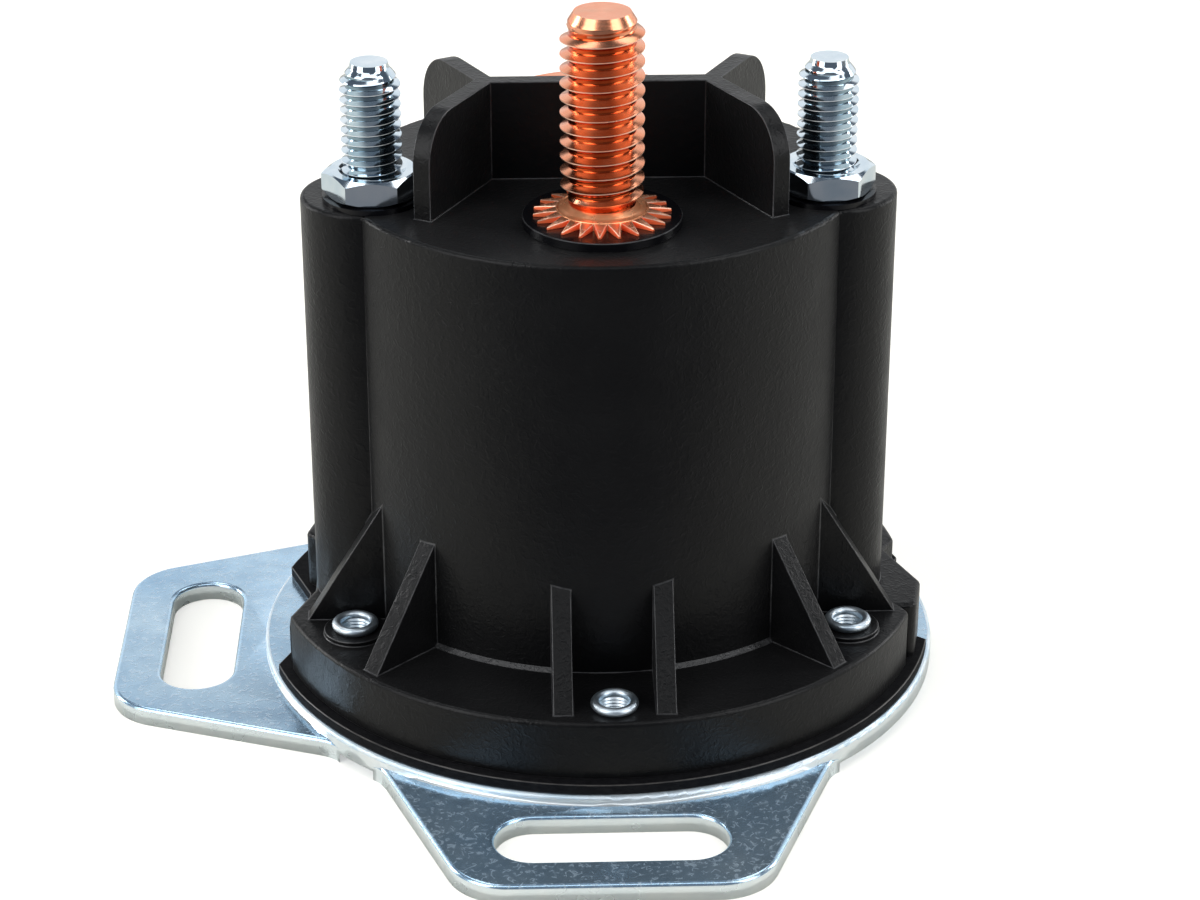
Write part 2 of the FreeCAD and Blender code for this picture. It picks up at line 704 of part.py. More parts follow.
def add_side_gusset(body, index, side, way):
    # the gussets beside the stud columns stand square to the sides of the body
    sketch = new_sketch(body, "side_gusset_%d_profile" % index, "XZ_Plane")
    turn = FreeCAD.Rotation(FreeCAD.Vector(0, 1, 0), 0 if side > 0 else 180)
    # the sketch plane faces -Y, so the offset along its normal is against the way given
    place = FreeCAD.Vector(0, 0, -way * number("side_gusset_along"))
    sketch.AttachmentOffset = FreeCAD.Placement(place, turn)
    toe = "side_gusset_toe" if way < 0 else "rear_side_gusset_toe"
    add_outline(sketch, [
        ("side_gusset_root", "flange_base"),
        (toe, "flange_base"),
        (toe, "flange_top"),
        ("side_gusset_root", "side_gusset_top"),
    ])
    pad(body, sketch, "side_gusset_%d" % index, "gusset_thickness", both_ways=True)


def add_wing(body, index, side, angle, end):
    sketch = new_sketch(body, "wing_%d_profile" % index, "XZ_Plane")
    turn = FreeCAD.Rotation(FreeCAD.Vector(0, 1, 0), angle)
    foot = FreeCAD.Vector(side * number("barrier_half_width"), 0, 0)
    sketch.AttachmentOffset = FreeCAD.Placement(foot, turn)
    add_outline(sketch, [
        ("0", "boss_rim_level"),
        (end + "_wing_length", "boss_rim_level"),
        (end + "_wing_length", end + "_wing_level"),
        (end + "_wing_station", "barrier_top"),
        ("0", "barrier_top"),
    ], {2: end + "_wing_rounding"})
    pad(body, sketch, "wing_%d" % index, "barrier_thickness", both_ways=True)


# Moulded housing: lobed flange, body between two arcs, stud columns, gussets and barrier.
def make_housing():
    body = new_body("relay_housing")
    square = ("side_pad_notch", "side_pad_foot", "flank_end_across", "-flank_end_across",
              "-recess_station")
    plan = new_sketch(body, "flange_plan", "XY_Plane", "flange_base")
    corners = [
        ("lobe_right_across", "-lobe_end_right"),
        ("side_pad_notch", "-side_pad_front"),
        ("side_pad_near", "-side_pad_front"),
        ("side_pad_reach", "-side_pad_corner"),
        ("side_pad_foot", "side_pad_back"),
        ("flank_right_across", "flank_start_right"),
        ("flank_end_across", "rear_lobe_start"),
        ("rear_lobe_across", "rear_lobe_step"),
        ("-rear_lobe_across", "rear_lobe_step"),
        ("-flank_end_across", "rear_lobe_start"),
        ("-flank_left_across", "flank_start_left"),
        ("-recess_station", "recess_half"),
        ("-recess_station", "-recess_half"),
        ("-lobe_left_across", "-lobe_end_left"),
    ]
    add_outline(plan, corners, {
        5: "flank_radius",
        7: "lobe_radius",
        9: "flank_radius",
        13: "lobe_radius",
    })
    flange = pad(body, plan, "flange", "flange_height")
    doc.recompute()
    rounded = [corner for corner in corners if corner[0] not in square]
    ends = fillet(body, flange, upright_edges(flange.Shape, rounded), "flange_corners",
                  "flange_corner_radius")
    doc.recompute()
    fillet(body, ends, edges_at_level(ends.Shape, number("flange_top")), "flange_rim",
           "flange_rim_radius")
    lug = new_sketch(body, "side_lug_plan", "XY_Plane", "flange_base")
    add_outline(lug, [
        ("-side_lug_reach", "-side_lug_far"),
        ("-side_lug_root", "-side_lug_far"),
        ("-side_lug_root", "-side_lug_near"),
        ("-side_lug_reach", "-side_lug_near"),
    ])
    pad(body, lug, "side_lug", "side_lug_height")
    lean = number("gusset_angle")
    for index, angle in enumerate((-lean, lean, 180 - lean, 180 + lean), start=1):
        add_gusset(body, index, angle)
    ends = ((-1, "-end_gusset_left"), (-1, "end_gusset_right"),
            (1, "-end_gusset_left"), (1, "end_gusset_right"))
    for index, (way, across) in enumerate(ends, start=1):
        add_end_gusset(body, index, way, across)
    sides = ((1, -1), (1, 1), (-1, -1), (-1, 1))
    for index, (side, way) in enumerate(sides, start=1):
        add_side_gusset(body, index, side, way)
    add_body_block(body)
    for side in (-1, 1):
        add_boss(body, side)
    add_barrier(body)
    add_rivet_pads(body)
    hollow_housing(body)
    return body


def add_body_block(body):
    # the arc-sided block, rounded along its rim, added as one pad from the flange base
    plan = new_sketch(body, "body_plan", "XY_Plane", "flange_base")
    add_outline(plan, [
        ("body_half_width", "-body_corner"),
        ("body_half_width", "body_corner"),
        ("-body_half_width", "body_corner"),
        ("-body_half_width", "-body_corner"),
    ], {1: "body_arc_radius", 3: "body_arc_radius"})
    block = body.newObject("PartDesign::Pad", "body_block")
    block.Profile = plan
    block.setExpression("Length", "Sizes.flange_height + Sizes.body_height")
    body.Tip = block
    doc.recompute()
    names = edges_at_level(block.Shape, number("deck_top"))
    fillet(body, block, names, "deck_rim", "body_edge_radius")


def add_boss(body, side):
    # stud column with a rounded rim, turned about the axis of its stud
    sketch = new_sketch(body, "boss_profile_%s" % ("left" if side < 0 else "right"), "XZ_Plane")
    place = FreeCAD.Vector(side * number("boss_across"), 0, number("boss_along"))
    sketch.AttachmentOffset = FreeCAD.Placement(place, FreeCAD.Rotation())
    add_outline(sketch, [
        ("0", "flange_base"),
        ("boss_radius", "flange_base"),
        ("boss_radius", "boss_rim_level"),
        ("boss_rim_inner", "deck_top"),
        ("0", "deck_top"),
    ], {2: "body_edge_radius"})
    revolve(body, sketch, "boss_%s" % ("left" if side < 0 else "right"))


def add_barrier(body):
    plan = new_sketch(body, "cross_wall_plan", "XY_Plane", "boss_rim_level")
    add_outline(plan, [
        ("barrier_half_width", "-barrier_half_thickness"),
        ("barrier_half_width", "barrier_half_thickness"),
        ("-barrier_half_width", "barrier_half_thickness"),
        ("-barrier_half_width", "-barrier_half_thickness"),
    ])
    wall = body.newObject("PartDesign::Pad", "cross_wall")
    wall.Profile = plan
    wall.setExpression("Length", "Sizes.barrier_height + Sizes.body_edge_radius")
    body.Tip = wall
    lean = number("wing_angle")
    wings = ((1, 90 - lean, "rear"), (1, lean - 90, "front"),
             (-1, 90 + lean, "rear"), (-1, -90 - lean, "front"))
    for index, (side, angle, end) in enumerate(wings, start=1):
        add_wing(body, index, side, angle, end)


def add_rivet_pads(body):
    sketch = new_sketch(body, "rivet_pads_plan", "XY_Plane", "flange_top")
    for x, y in side_rivet_places():
        add_circle(sketch, "rivet_pad_radius", x, y)
    pad(body, sketch, "rivet_pads", "rivet_pad_height")


def hollow_housing(body):
    # coil room with the outline of the body, then the round contact room above it
    room = new_sketch(body, "coil_room_plan", "XY_Plane", "flange_base")
    add_outline(room, [
        ("room_half_width", "-room_corner"),
        ("room_half_width", "room_corner"),
        ("-room_half_width", "room_corner"),
        ("-room_half_width", "-room_corner"),
    ], {1: "room_arc_radius", 3: "room_arc_radius"})
    coil_room = body.newObject("PartDesign::Pocket", "coil_room")
    coil_room.Profile = room
    coil_room.Reversed = True
    coil_room.setExpression("Length", "Sizes.pole_plate_top - Sizes.flange_base")
    body.Tip = coil_room
    rooms = (
        ("contact_room", "contact_room_radius", "pole_plate_top", [("0", "0")]),
        ("boss_channels", "boss_channel_radius", "flange_base",
         [("coil_stud_across", "-coil_stud_along"), ("-coil_stud_across", "-coil_stud_along")]),
    )
    for name, radius, base, places in rooms:
        plan = new_sketch(body, name + "_plan", "XY_Plane", base)
        for x, y in places:
            add_circle(plan, radius, x, y)
        cut = body.newObject("PartDesign::Pocket", name)
        cut.Profile = plan
        cut.Reversed = True
        cut.setExpression("Length", "Sizes.deck_under - Sizes.%s" % base)
        body.Tip = cut
    holes = new_sketch(body, "stud_holes_plan", "XY_Plane", "deck_under")
    add_circle(holes, "power_hole_radius", "0", "-power_stud_distance")
    add_circle(holes, "rear_hole_radius", "0", "power_stud_distance")
    for x in ("-coil_stud_across", "coil_stud_across"):
        add_circle(holes, "coil_hole_radius", x, "-coil_stud_along")
    pocket(body, holes, "stud_holes", "deck_thickness", upward=True)
    rivets = new_sketch(body, "rivet_holes_plan", "XY_Plane", "flange_base")
    for x, y in rivet_places():
        add_circle(rivets, "rivet_hole_radius", x, y)
    cut = body.newObject("PartDesign::Pocket", "rivet_holes")
    cut.Profile = rivets
    cut.Reversed = True
    cut.setExpression("Length", "Sizes.flange_height + Sizes.rivet_pad_height")
    body.Tip = cut


# Six zinc-plated eyelets through flange, gasket and platform, rolled over at both ends.
def make_eyelets():
    places = [(x, y, "flange_top") for x, y in end_rivet_places()]
    places += [(x, y, "rivet_side_seat") for x, y in side_rivet_places()]
    eyelets = []
    for index, (x, y, seat) in enumerate(places, start=1):
        rim = "end_rim" if seat == "flange_top" else "side_rim"
        eyelets.append(turned("eyelet_%d" % index, [
            ("rivet_bore_radius", "rivet_foot_level"),
            ("rivet_foot_radius", "rivet_foot_level"),
            ("rivet_foot_radius", "platform_lift"),
            ("rivet_barrel_radius", "platform_lift"),
            ("rivet_barrel_radius", seat),
            ("rivet_rim_radius", seat),
            ("rivet_rim_radius", rim + "_edge"),
            ("rivet_crown_radius", rim + "_crown"),
            ("rivet_bore_radius", rim + "_edge"),
        ], x, y))
    group = doc.addObject("Part::Compound", "flange_eyelets")
    group.Label = "flange_eyelets"
    group.Links = eyelets
    return group


# Copper power stud: head under the deck, shoulder through it, thread above.
def make_power_stud():
    return turned("front_power_stud", [
        ("0", "power_head_under"),
        ("power_head_radius", "power_head_under"),
        ("power_head_radius", "deck_under"),
        ("power_shoulder_radius", "deck_under"),
        ("power_shoulder_radius", "power_shoulder_top"),
        ("power_neck_radius", "power_neck_base"),
        ("power_stud_radius", "power_thread_base"),
        ("power_stud_radius", "power_tip_base"),
        ("power_tip_radius", "power_tip"),
        ("0", "power_tip"),
    ], "0", "-power_stud_distance")


# Copper rear terminal: a tapped post with its head under the deck.
def make_rear_terminal():
    return turned("rear_power_terminal", [
        ("0", "power_head_under"),
        ("rear_head_radius", "power_head_under"),
        ("rear_head_radius", "deck_under"),
        ("rear_post_radius", "deck_under"),
        ("rear_post_radius", "rear_post_top"),
        ("rear_tap_radius", "rear_post_top"),
        ("rear_tap_radius", "rear_tap_base"),
        ("0", "rear_tap_base"),
    ], "0", "power_stud_distance")


# Copper push-on lock washer: a ring with twisted teeth pointing outward.
def make_star_washer():
    body = new_body("front_star_washer", "0", "-power_stud_distance")
    sketch = new_sketch(body, "star_rim_profile", "XZ_Plane")
    add_outline(sketch, [
        ("power_hole_radius", "washer_top"),
        ("star_rim_radius", "washer_top"),
        ("star_rim_radius", "star_top"),
        ("power_hole_radius", "star_top"),
    ])
    revolve(body, sketch, "star_rim")
    tooth = new_sketch(body, "star_tooth_plan", "XY_Plane", "washer_top")
    add_outline(tooth, [
        ("star_tooth_half_width", "-star_radius"),
        ("star_tooth_half_width", "-power_hole_radius"),
        ("-star_tooth_half_width", "-power_hole_radius"),
        ("-star_tooth_half_width", "-star_radius"),
    ])
    first = pad(body, tooth, "star_tooth", "star_web_thickness")
    teeth = body.newObject("PartDesign::PolarPattern", "star_teeth")
    teeth.Originals = [first]
    teeth.Axis = (origin_feature(body, "Z_Axis"), [""])
    teeth.Angle = 360
    teeth.setExpression("Occurrences", "Sizes.star_tooth_count")
    body.Tip = teeth
    return body


# Hex nut, run down the coil stud onto the seal washer.
def make_nut(label, x):
    body = new_body(label, x, "-coil_stud_along")
    plan = new_sketch(body, label + "_plan", "XY_Plane", "seal_top")
    add_outline(plan, [
        ("nut_corner", "0"),
        ("nut_half_corner", "nut_half_flats"),
        ("-nut_half_corner", "nut_half_flats"),
        ("-nut_corner", "0"),
        ("-nut_half_corner", "-nut_half_flats"),
        ("nut_half_corner", "-nut_half_flats"),
    ])
    add_circle(plan, "nut_bore_radius")
    pad(body, plan, label + "_block", "nut_height")
    return body


# Coil stud: head under the deck, plain shank through the nut, thread above.
def make_coil_stud(label, x):
    return turned(label, [
        ("0", "coil_head_under"),
        ("coil_head_radius", "coil_head_under"),
        ("coil_head_radius", "deck_under"),
        ("coil_shank_radius", "deck_under"),
        ("coil_shank_radius", "coil_thread_base"),
        ("coil_stud_radius", "coil_thread_base"),
        ("coil_stud_radius", "coil_tip_base"),
        ("coil_stud_tip_radius", "coil_tip"),
        ("0", "coil_tip"),
    ], x, "-coil_stud_along")


def make_terminals():
    made = [
        make_power_stud(),
        make_rear_terminal(),
        ring("front_insulating_washer", "power_hole_radius", "washer_radius", "deck_top",
             "washer_top", "0", "-power_stud_distance"),
        make_star_washer(),
        ring("rear_insulating_washer", "rear_hole_radius", "washer_radius", "deck_top",
             "washer_top", "0", "power_stud_distance"),
        ring("rear_terminal_disc", "rear_post_radius", "terminal_disc_radius", "washer_top",
             "terminal_disc_top", "0", "power_stud_distance"),
    ]
    for name, x in (("left", "-coil_stud_across"), ("right", "coil_stud_across")):
        made.append(make_coil_stud(name + "_coil_stud", x))
        made.append(ring(name + "_seal_washer", "coil_hole_radius", "seal_radius", "deck_top",
                         "seal_top", x, "-coil_stud_along"))
        made.append(make_nut(name + "_coil_nut", x))
    return made


# Drawn steel can around the coil, notched at its rim where the two leads come out.
def make_can():
    body = turned("coil_can", [
        ("0", "platform_top"),
        ("can_radius", "platform_top"),
        ("can_radius", "can_top"),
        ("can_inner_radius", "can_top"),
        ("can_inner_radius", "can_floor_top"),
        ("0", "can_floor_top"),
    ])
    lean = math.degrees(math.atan2(number("coil_stud_along"), number("coil_stud_across")))
    for name, angle in (("right", -lean), ("left", 180 + lean)):
        sketch = new_sketch(body, "notch_%s_profile" % name, "XZ_Plane")
        turn = FreeCAD.Rotation(FreeCAD.Vector(0, 1, 0), angle)
        sketch.AttachmentOffset = FreeCAD.Placement(FreeCAD.Vector(0, 0, 0), turn)
        add_outline(sketch, [
            ("winding_radius", "can_notch_base"),
            ("coil_stud_distance", "can_notch_base"),
            ("coil_stud_distance", "pole_plate_top"),
            ("winding_radius", "pole_plate_top"),
        ])
        notch = pocket(body, sketch, "notch_%s" % name, "can_notch_width")
        notch.Midplane = True
    return body


def make_magnet():
    made = [
        make_can(),
        ring("pole_plate", "core_spigot_radius", "can_radius", "can_top", "pole_plate_top"),
        turned("fixed_core", [
            ("rod_bore_radius", "core_under"),
            ("core_radius", "core_under"),
            ("core_radius", "can_top"),
            ("core_spigot_radius", "can_top"),
            ("core_spigot_radius", "pole_plate_top"),
            ("rod_bore_radius", "pole_plate_top"),
        ]),
        ring("guide_tube", "tube_bore_radius", "tube_outer_radius", "can_floor_top", "can_top"),
        turned("coil_bobbin", [
            ("bobbin_bore_radius", "bobbin_base"),
            ("bobbin_flange_radius", "bobbin_base"),
            ("bobbin_flange_radius", "winding_base"),
            ("bobbin_tube_radius", "winding_base"),
            ("bobbin_tube_radius", "winding_top"),
            ("bobbin_flange_radius", "winding_top"),
            ("bobbin_flange_radius", "bobbin_top"),
            ("bobbin_bore_radius", "bobbin_top"),
        ]),
        ring("coil_winding", "bobbin_tube_radius", "winding_radius", "winding_base",
             "winding_top"),
        turned("plunger_bumper", [
            ("0", "can_floor_top"),
            ("bumper_radius", "can_floor_top"),
            ("bumper_radius", "bumper_top"),
            ("0", "bumper_top"),
        ]),
    ]
    return made


# Coil lead: out of the winding through the can notch, then up the stud column.
def make_lead(label, side):
    reach = FreeCAD.Vector(side * number("coil_stud_across"), -number("coil_stud_along"), 0)
    outward = FreeCAD.Vector(reach).normalize()
    up = FreeCAD.Vector(0, 0, 1)
    level = up * number("lead_level")
    bend = number("lead_bend_radius")
    start = outward * number("winding_radius") + level
    corner = reach + level
    before = corner - outward * bend
    after = corner + up * bend
    centre = before + up * bend
    middle = centre + (outward - up).normalize() * bend
    end = reach + up * number("coil_head_under")
    path = doc.addObject("Part::Feature", label + "_path")
    path.Shape = Part.Wire([
        Part.makeLine(start, before),
        Part.Arc(before, middle, after).toShape(),
        Part.makeLine(after, end),
    ])
    section = doc.addObject("Part::Circle", label + "_section")
    section.setExpression("Radius", "Sizes.lead_radius")
    section.Placement = FreeCAD.Placement(start, FreeCAD.Rotation(up, outward))
    lead = doc.addObject("Part::Sweep", label)
    lead.Label = label
    lead.Sections = [section]
    lead.Spine = (path, ["Edge1", "Edge2", "Edge3"])
    lead.Solid = True
    lead.Frenet = False
    return lead


# Round-wire compression spring between two levels.
def make_spring(label, radius, wire, turns, base, top):
    helix = doc.addObject("Part::Helix", label + "_helix")
    length = "(Sizes.%s - Sizes.%s - 2 * Sizes.%s)" % (top, base, wire)
    helix.setExpression("Radius", "Sizes.%s" % radius)
    helix.setExpression("Height", length)
    helix.setExpression("Pitch", "%s / Sizes.%s" % (length, turns))
    helix.setExpression(".Placement.Base.z", "Sizes.%s + Sizes.%s" % (base, wire))
    section = doc.addObject("Part::Circle", label + "_section")
    section.setExpression("Radius", "Sizes.%s" % wire)
    section.setExpression(".Placement.Base.x", "Sizes.%s" % radius)
    section.setExpression(".Placement.Base.z", "Sizes.%s + Sizes.%s" % (base, wire))
    section.Placement.Rotation = FreeCAD.Rotation(FreeCAD.Vector(1, 0, 0), 90)
    spring = doc.addObject("Part::Sweep", label)
    spring.Label = label
    spring.Sections = [section]
    spring.Spine = (helix, ["Edge1"])
    spring.Solid = True
    spring.Frenet = True
    return spring


def make_moving_parts():
    return [
        turned("plunger", [
            ("0", "plunger_base"),
            ("plunger_radius", "plunger_base"),
            ("plunger_radius", "plunger_top"),
            ("spring_pocket_radius", "plunger_top"),
            ("spring_pocket_radius", "spring_pocket_base"),
            ("rod_radius", "spring_pocket_base"),
            ("rod_radius", "rod_base"),
            ("0", "rod_base"),
        ]),
        turned("push_rod", [
            ("0", "rod_base"),
            ("rod_radius", "rod_base"),
            ("rod_radius", "rod_top"),
            ("0", "rod_top"),
        ]),
        ring("rod_collar", "rod_radius", "collar_radius", "collar_under", "collar_top"),
        ring("rod_clip", "rod_radius", "clip_radius", "clip_under", "clip_top"),
        ring("contact_disc", "disc_bore_radius", "disc_radius", "disc_under", "disc_top"),
        turned("lower_bush", [
            ("rod_bore_radius", "bush_under"),
            ("bush_flange_radius", "bush_under"),
            ("bush_flange_radius", "disc_under"),
            ("bush_spigot_radius", "disc_under"),
            ("bush_spigot_radius", "disc_top"),
            ("rod_bore_radius", "disc_top"),
        ]),
        ring("upper_bush", "rod_bore_radius", "bush_flange_radius", "disc_top", "bush_top"),
        make_spring("return_spring", "return_spring_radius", "return_wire_radius",
                    "return_spring_turns", "spring_pocket_base", "core_under"),
        make_spring("contact_spring", "contact_spring_radius", "contact_wire_radius",
                    "contact_spring_turns", "collar_top", "bush_under"),
    ]


def export(pieces):
    os.makedirs("parts", exist_ok=True)
    for thing in doc.Objects:
        if "Invalid" in thing.State or "Error" in thing.State:
            raise RuntimeError("%s could not be built" % thing.Label)
    for piece in pieces:
        shape = piece.Shape
        if shape.isNull() or not shape.isValid() or not shape.Solids:
            raise RuntimeError("%s has no sound solid" % piece.Label)
        shape.exportStep("parts/%s.step" % piece.Label)


fill_sheet()
pieces = [make_bracket(), make_gasket(), make_housing(), make_eyelets()]
pieces += make_terminals()
pieces += make_magnet()
pieces += [make_lead("left_coil_lead", -1), make_lead("right_coil_lead", 1)]
pieces += make_moving_parts()
doc.recompute()
export(pieces)
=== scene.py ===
import math

import bmesh
import bpy
import numpy as np
from mathutils import Matrix, Vector


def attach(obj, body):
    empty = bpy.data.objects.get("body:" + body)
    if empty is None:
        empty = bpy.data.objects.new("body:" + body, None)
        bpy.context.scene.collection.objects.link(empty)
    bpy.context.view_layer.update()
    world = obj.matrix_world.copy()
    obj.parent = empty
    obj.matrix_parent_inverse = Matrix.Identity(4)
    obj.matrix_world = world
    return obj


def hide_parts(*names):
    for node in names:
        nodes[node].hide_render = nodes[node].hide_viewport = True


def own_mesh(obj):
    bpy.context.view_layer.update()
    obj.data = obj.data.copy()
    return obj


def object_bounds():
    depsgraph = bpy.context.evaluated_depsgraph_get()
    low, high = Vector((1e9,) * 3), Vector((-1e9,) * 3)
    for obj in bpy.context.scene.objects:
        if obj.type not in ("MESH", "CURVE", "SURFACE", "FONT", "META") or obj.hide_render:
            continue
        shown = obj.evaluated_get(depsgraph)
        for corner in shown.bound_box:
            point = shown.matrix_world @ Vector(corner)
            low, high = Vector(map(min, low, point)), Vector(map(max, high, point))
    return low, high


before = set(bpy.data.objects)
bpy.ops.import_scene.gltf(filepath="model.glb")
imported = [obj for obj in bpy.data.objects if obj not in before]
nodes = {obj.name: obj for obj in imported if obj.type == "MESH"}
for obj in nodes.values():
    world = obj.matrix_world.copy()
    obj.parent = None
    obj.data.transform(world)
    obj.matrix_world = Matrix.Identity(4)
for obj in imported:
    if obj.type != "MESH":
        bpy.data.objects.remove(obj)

cad_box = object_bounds()

# The camera.
# It looks down at the front of the relay from a little left of the middle, with a long lens, and
# the picture isn't shifted.
LOOK_AT = Vector((0.0002, 0.0, 0.02257))
CAMERA_TURN = math.radians(-1.9)
CAMERA_RISE = math.radians(26.03)
CAMERA_DISTANCE = 0.3167
LENS_LENGTH = 93.4
SENSOR_WIDTH = 36.0
NEAREST_SEEN = 0.01
FARTHEST_SEEN = 20.0
towards_camera = Vector((
    math.sin(CAMERA_TURN) * math.cos(CAMERA_RISE),
    -math.cos(CAMERA_TURN) * math.cos(CAMERA_RISE),
    math.sin(CAMERA_RISE),
))
camera_data = bpy.data.cameras.new("studio_camera")
camera_data.lens = LENS_LENGTH
camera_data.sensor_width = SENSOR_WIDTH
camera_data.clip_start = NEAREST_SEEN
camera_data.clip_end = FARTHEST_SEEN
camera = bpy.data.objects.new("studio_camera", camera_data)
bpy.context.scene.collection.objects.link(camera)
camera.location = LOOK_AT + towards_camera * CAMERA_DISTANCE
camera.rotation_mode = "QUATERNION"
camera.rotation_quaternion = (-towards_camera).to_track_quat("-Z", "Y")
bpy.context.scene.camera = camera
bpy.context.scene.view_settings.view_transform = "Standard"


# The studio.
# A dim room, soft boxes at both sides, and a floor of white paper with painted shade in front of
# the relay, which only glossy rays see. Behind it stands a white wall, and the flat plated faces
# mirror it up to its soft upper edge.
FLOOR_SPREAD = 3.0
FLOOR_COLOUR = (0.82, 0.80, 0.73)
FLOOR_LIFT = 0.45
FLOOR_AHEAD = (0.20, 0.20, 0.21)
AHEAD_FROM, AHEAD_FULL = 0.052, 0.060
AHEAD_SIDE, AHEAD_SIDE_FULL = math.radians(78.0), math.radians(22.0)
WALL_LIGHT = (0.97, 0.985, 1.0)
ROOM_DARK = (0.10, 0.12, 0.15)
WALL_FULL, WALL_END = math.sin(math.radians(28.0)), math.sin(math.radians(37.0))
WALL_SIDE, WALL_SIDE_FULL = 0.10, 0.55
WHITE = (1.0, 1.0, 1.0, 1.0)


def ramp(tree, value, start, end):
    """0 to 1, softly, as a value goes from one limit to the other."""
    ranged = tree.nodes.new("ShaderNodeMapRange")
    ranged.interpolation_type = "SMOOTHSTEP"
    ranged.inputs["From Min"].default_value = start
    ranged.inputs["From Max"].default_value = end
    tree.links.new(value, ranged.inputs["Value"])
    return ranged.outputs["Result"]


def combine(tree, operation, first, second):
    """One number from two, either of them a socket or a plain number."""
    maths = tree.nodes.new("ShaderNodeMath")
    maths.operation = operation
    for socket, value in zip(maths.inputs, (first, second)):
        if isinstance(value, bpy.types.NodeSocket):
            tree.links.new(value, socket)
        else:
            socket.default_value = value
    return maths.outputs[0]


def blend_colours(tree, value, first, second):
    """One colour from two by a value. The first may be a socket that holds a colour."""
    blend = tree.nodes.new("ShaderNodeMix")
    blend.data_type = "RGBA"
    if isinstance(first, bpy.types.NodeSocket):
        tree.links.new(first, blend.inputs["A"])
    else:
        blend.inputs["A"].default_value = (*first, 1.0)
    blend.inputs["B"].default_value = (*second, 1.0)
    tree.links.new(value, blend.inputs["Factor"])
    return blend.outputs["Result"]


def light_room():
    """The camera sees plain white, and all else sees the dim room and its wall."""
    world = bpy.data.worlds.new("studio_room")
    bpy.context.scene.world = world
    world.use_nodes = True
    tree = world.node_tree
    where = tree.nodes.new("ShaderNodeTexCoord")
    heading = tree.nodes.new("ShaderNodeSeparateXYZ")
    tree.links.new(where.outputs["Generated"], heading.inputs[0])
    below_edge = ramp(tree, heading.outputs["Z"], WALL_END, WALL_FULL)
    behind = ramp(tree, heading.outputs["Y"], WALL_SIDE, WALL_SIDE_FULL)
    wall = combine(tree, "MULTIPLY", below_edge, behind)
    lit = tree.nodes["Background"]
    tree.links.new(blend_colours(tree, wall, ROOM_DARK, WALL_LIGHT), lit.inputs["Color"])
    shown = tree.nodes.new("ShaderNodeBackground")
    shown.inputs["Color"].default_value = WHITE
    path = tree.nodes.new("ShaderNodeLightPath")
    either = tree.nodes.new("ShaderNodeMixShader")
    tree.links.new(path.outputs["Is Camera Ray"], either.inputs[0])
    tree.links.new(lit.outputs[0], either.inputs[1])
    tree.links.new(shown.outputs[0], either.inputs[2])
    tree.links.new(either.outputs[0], tree.nodes["World Output"].inputs["Surface"])


def lay_floor():
    """White paper, a little lifted for the camera, so that the relay's shadow stays on white."""
    mesh = bpy.data.meshes.new("studio_floor")
    bm = bmesh.new()
    bmesh.ops.create_grid(bm, x_segments=1, y_segments=1, size=FLOOR_SPREAD)
    bmesh.ops.translate(bm, verts=bm.verts, vec=(0.0, 0.0, cad_box[0].z))
    bm.to_mesh(mesh)
    bm.free()
    floor = bpy.data.objects.new("studio_floor", mesh)
    bpy.context.scene.collection.objects.link(floor)
    paper = bpy.data.materials.new("studio_floor")
    paper.use_nodes = True
    tree = paper.node_tree
    tree.nodes.remove(tree.nodes["Principled BSDF"])
    matt = tree.nodes.new("ShaderNodeBsdfDiffuse")
    glow = tree.nodes.new("ShaderNodeEmission")
    path = tree.nodes.new("ShaderNodeLightPath")
    where = tree.nodes.new("ShaderNodeTexCoord")
    place = tree.nodes.new("ShaderNodeSeparateXYZ")
    tree.links.new(where.outputs["Object"], place.inputs[0])
    ahead = combine(tree, "MULTIPLY", place.outputs["Y"], -1.0)
    across = combine(tree, "ABSOLUTE", place.outputs["X"], 0.0)
    heading = combine(tree, "ARCTAN2", across, ahead)
    # Glossy rays see the floor ahead of the relay darker: painted shade.
    sector = combine(
        tree, "MULTIPLY", ramp(tree, ahead, AHEAD_FROM, AHEAD_FULL),
        ramp(tree, heading, AHEAD_SIDE, AHEAD_SIDE_FULL),
    )
    shaded = combine(tree, "MULTIPLY", sector, path.outputs["Is Glossy Ray"])
    tone = blend_colours(tree, shaded, FLOOR_COLOUR, FLOOR_AHEAD)
    tree.links.new(tone, matt.inputs["Color"])
    lift = combine(tree, "MULTIPLY", path.outputs["Is Camera Ray"], FLOOR_LIFT)
    tree.links.new(lift, glow.inputs["Strength"])
    both = tree.nodes.new("ShaderNodeAddShader")
    tree.links.new(matt.outputs[0], both.inputs[0])
    tree.links.new(glow.outputs[0], both.inputs[1])
    tree.links.new(both.outputs[0], tree.nodes["Material Output"].inputs["Surface"])
    mesh.materials.append(paper)


def hang_lamp(name, place, width, height, power, aim=LOOK_AT):
    """A soft box turned to the relay, or one that faces straight down when it has no aim."""
    lamp_data = bpy.data.lights.new(name, "AREA")
    lamp_data.shape = "RECTANGLE"
    lamp_data.size = width
    lamp_data.size_y = height
    lamp_data.energy = power
    lamp = bpy.data.objects.new(name, lamp_data)
    bpy.context.scene.collection.objects.link(lamp)
    lamp.location = place
    if aim:
        lamp.rotation_mode = "QUATERNION"
        lamp.rotation_quaternion = (aim - Vector(place)).to_track_quat("-Z", "Y")


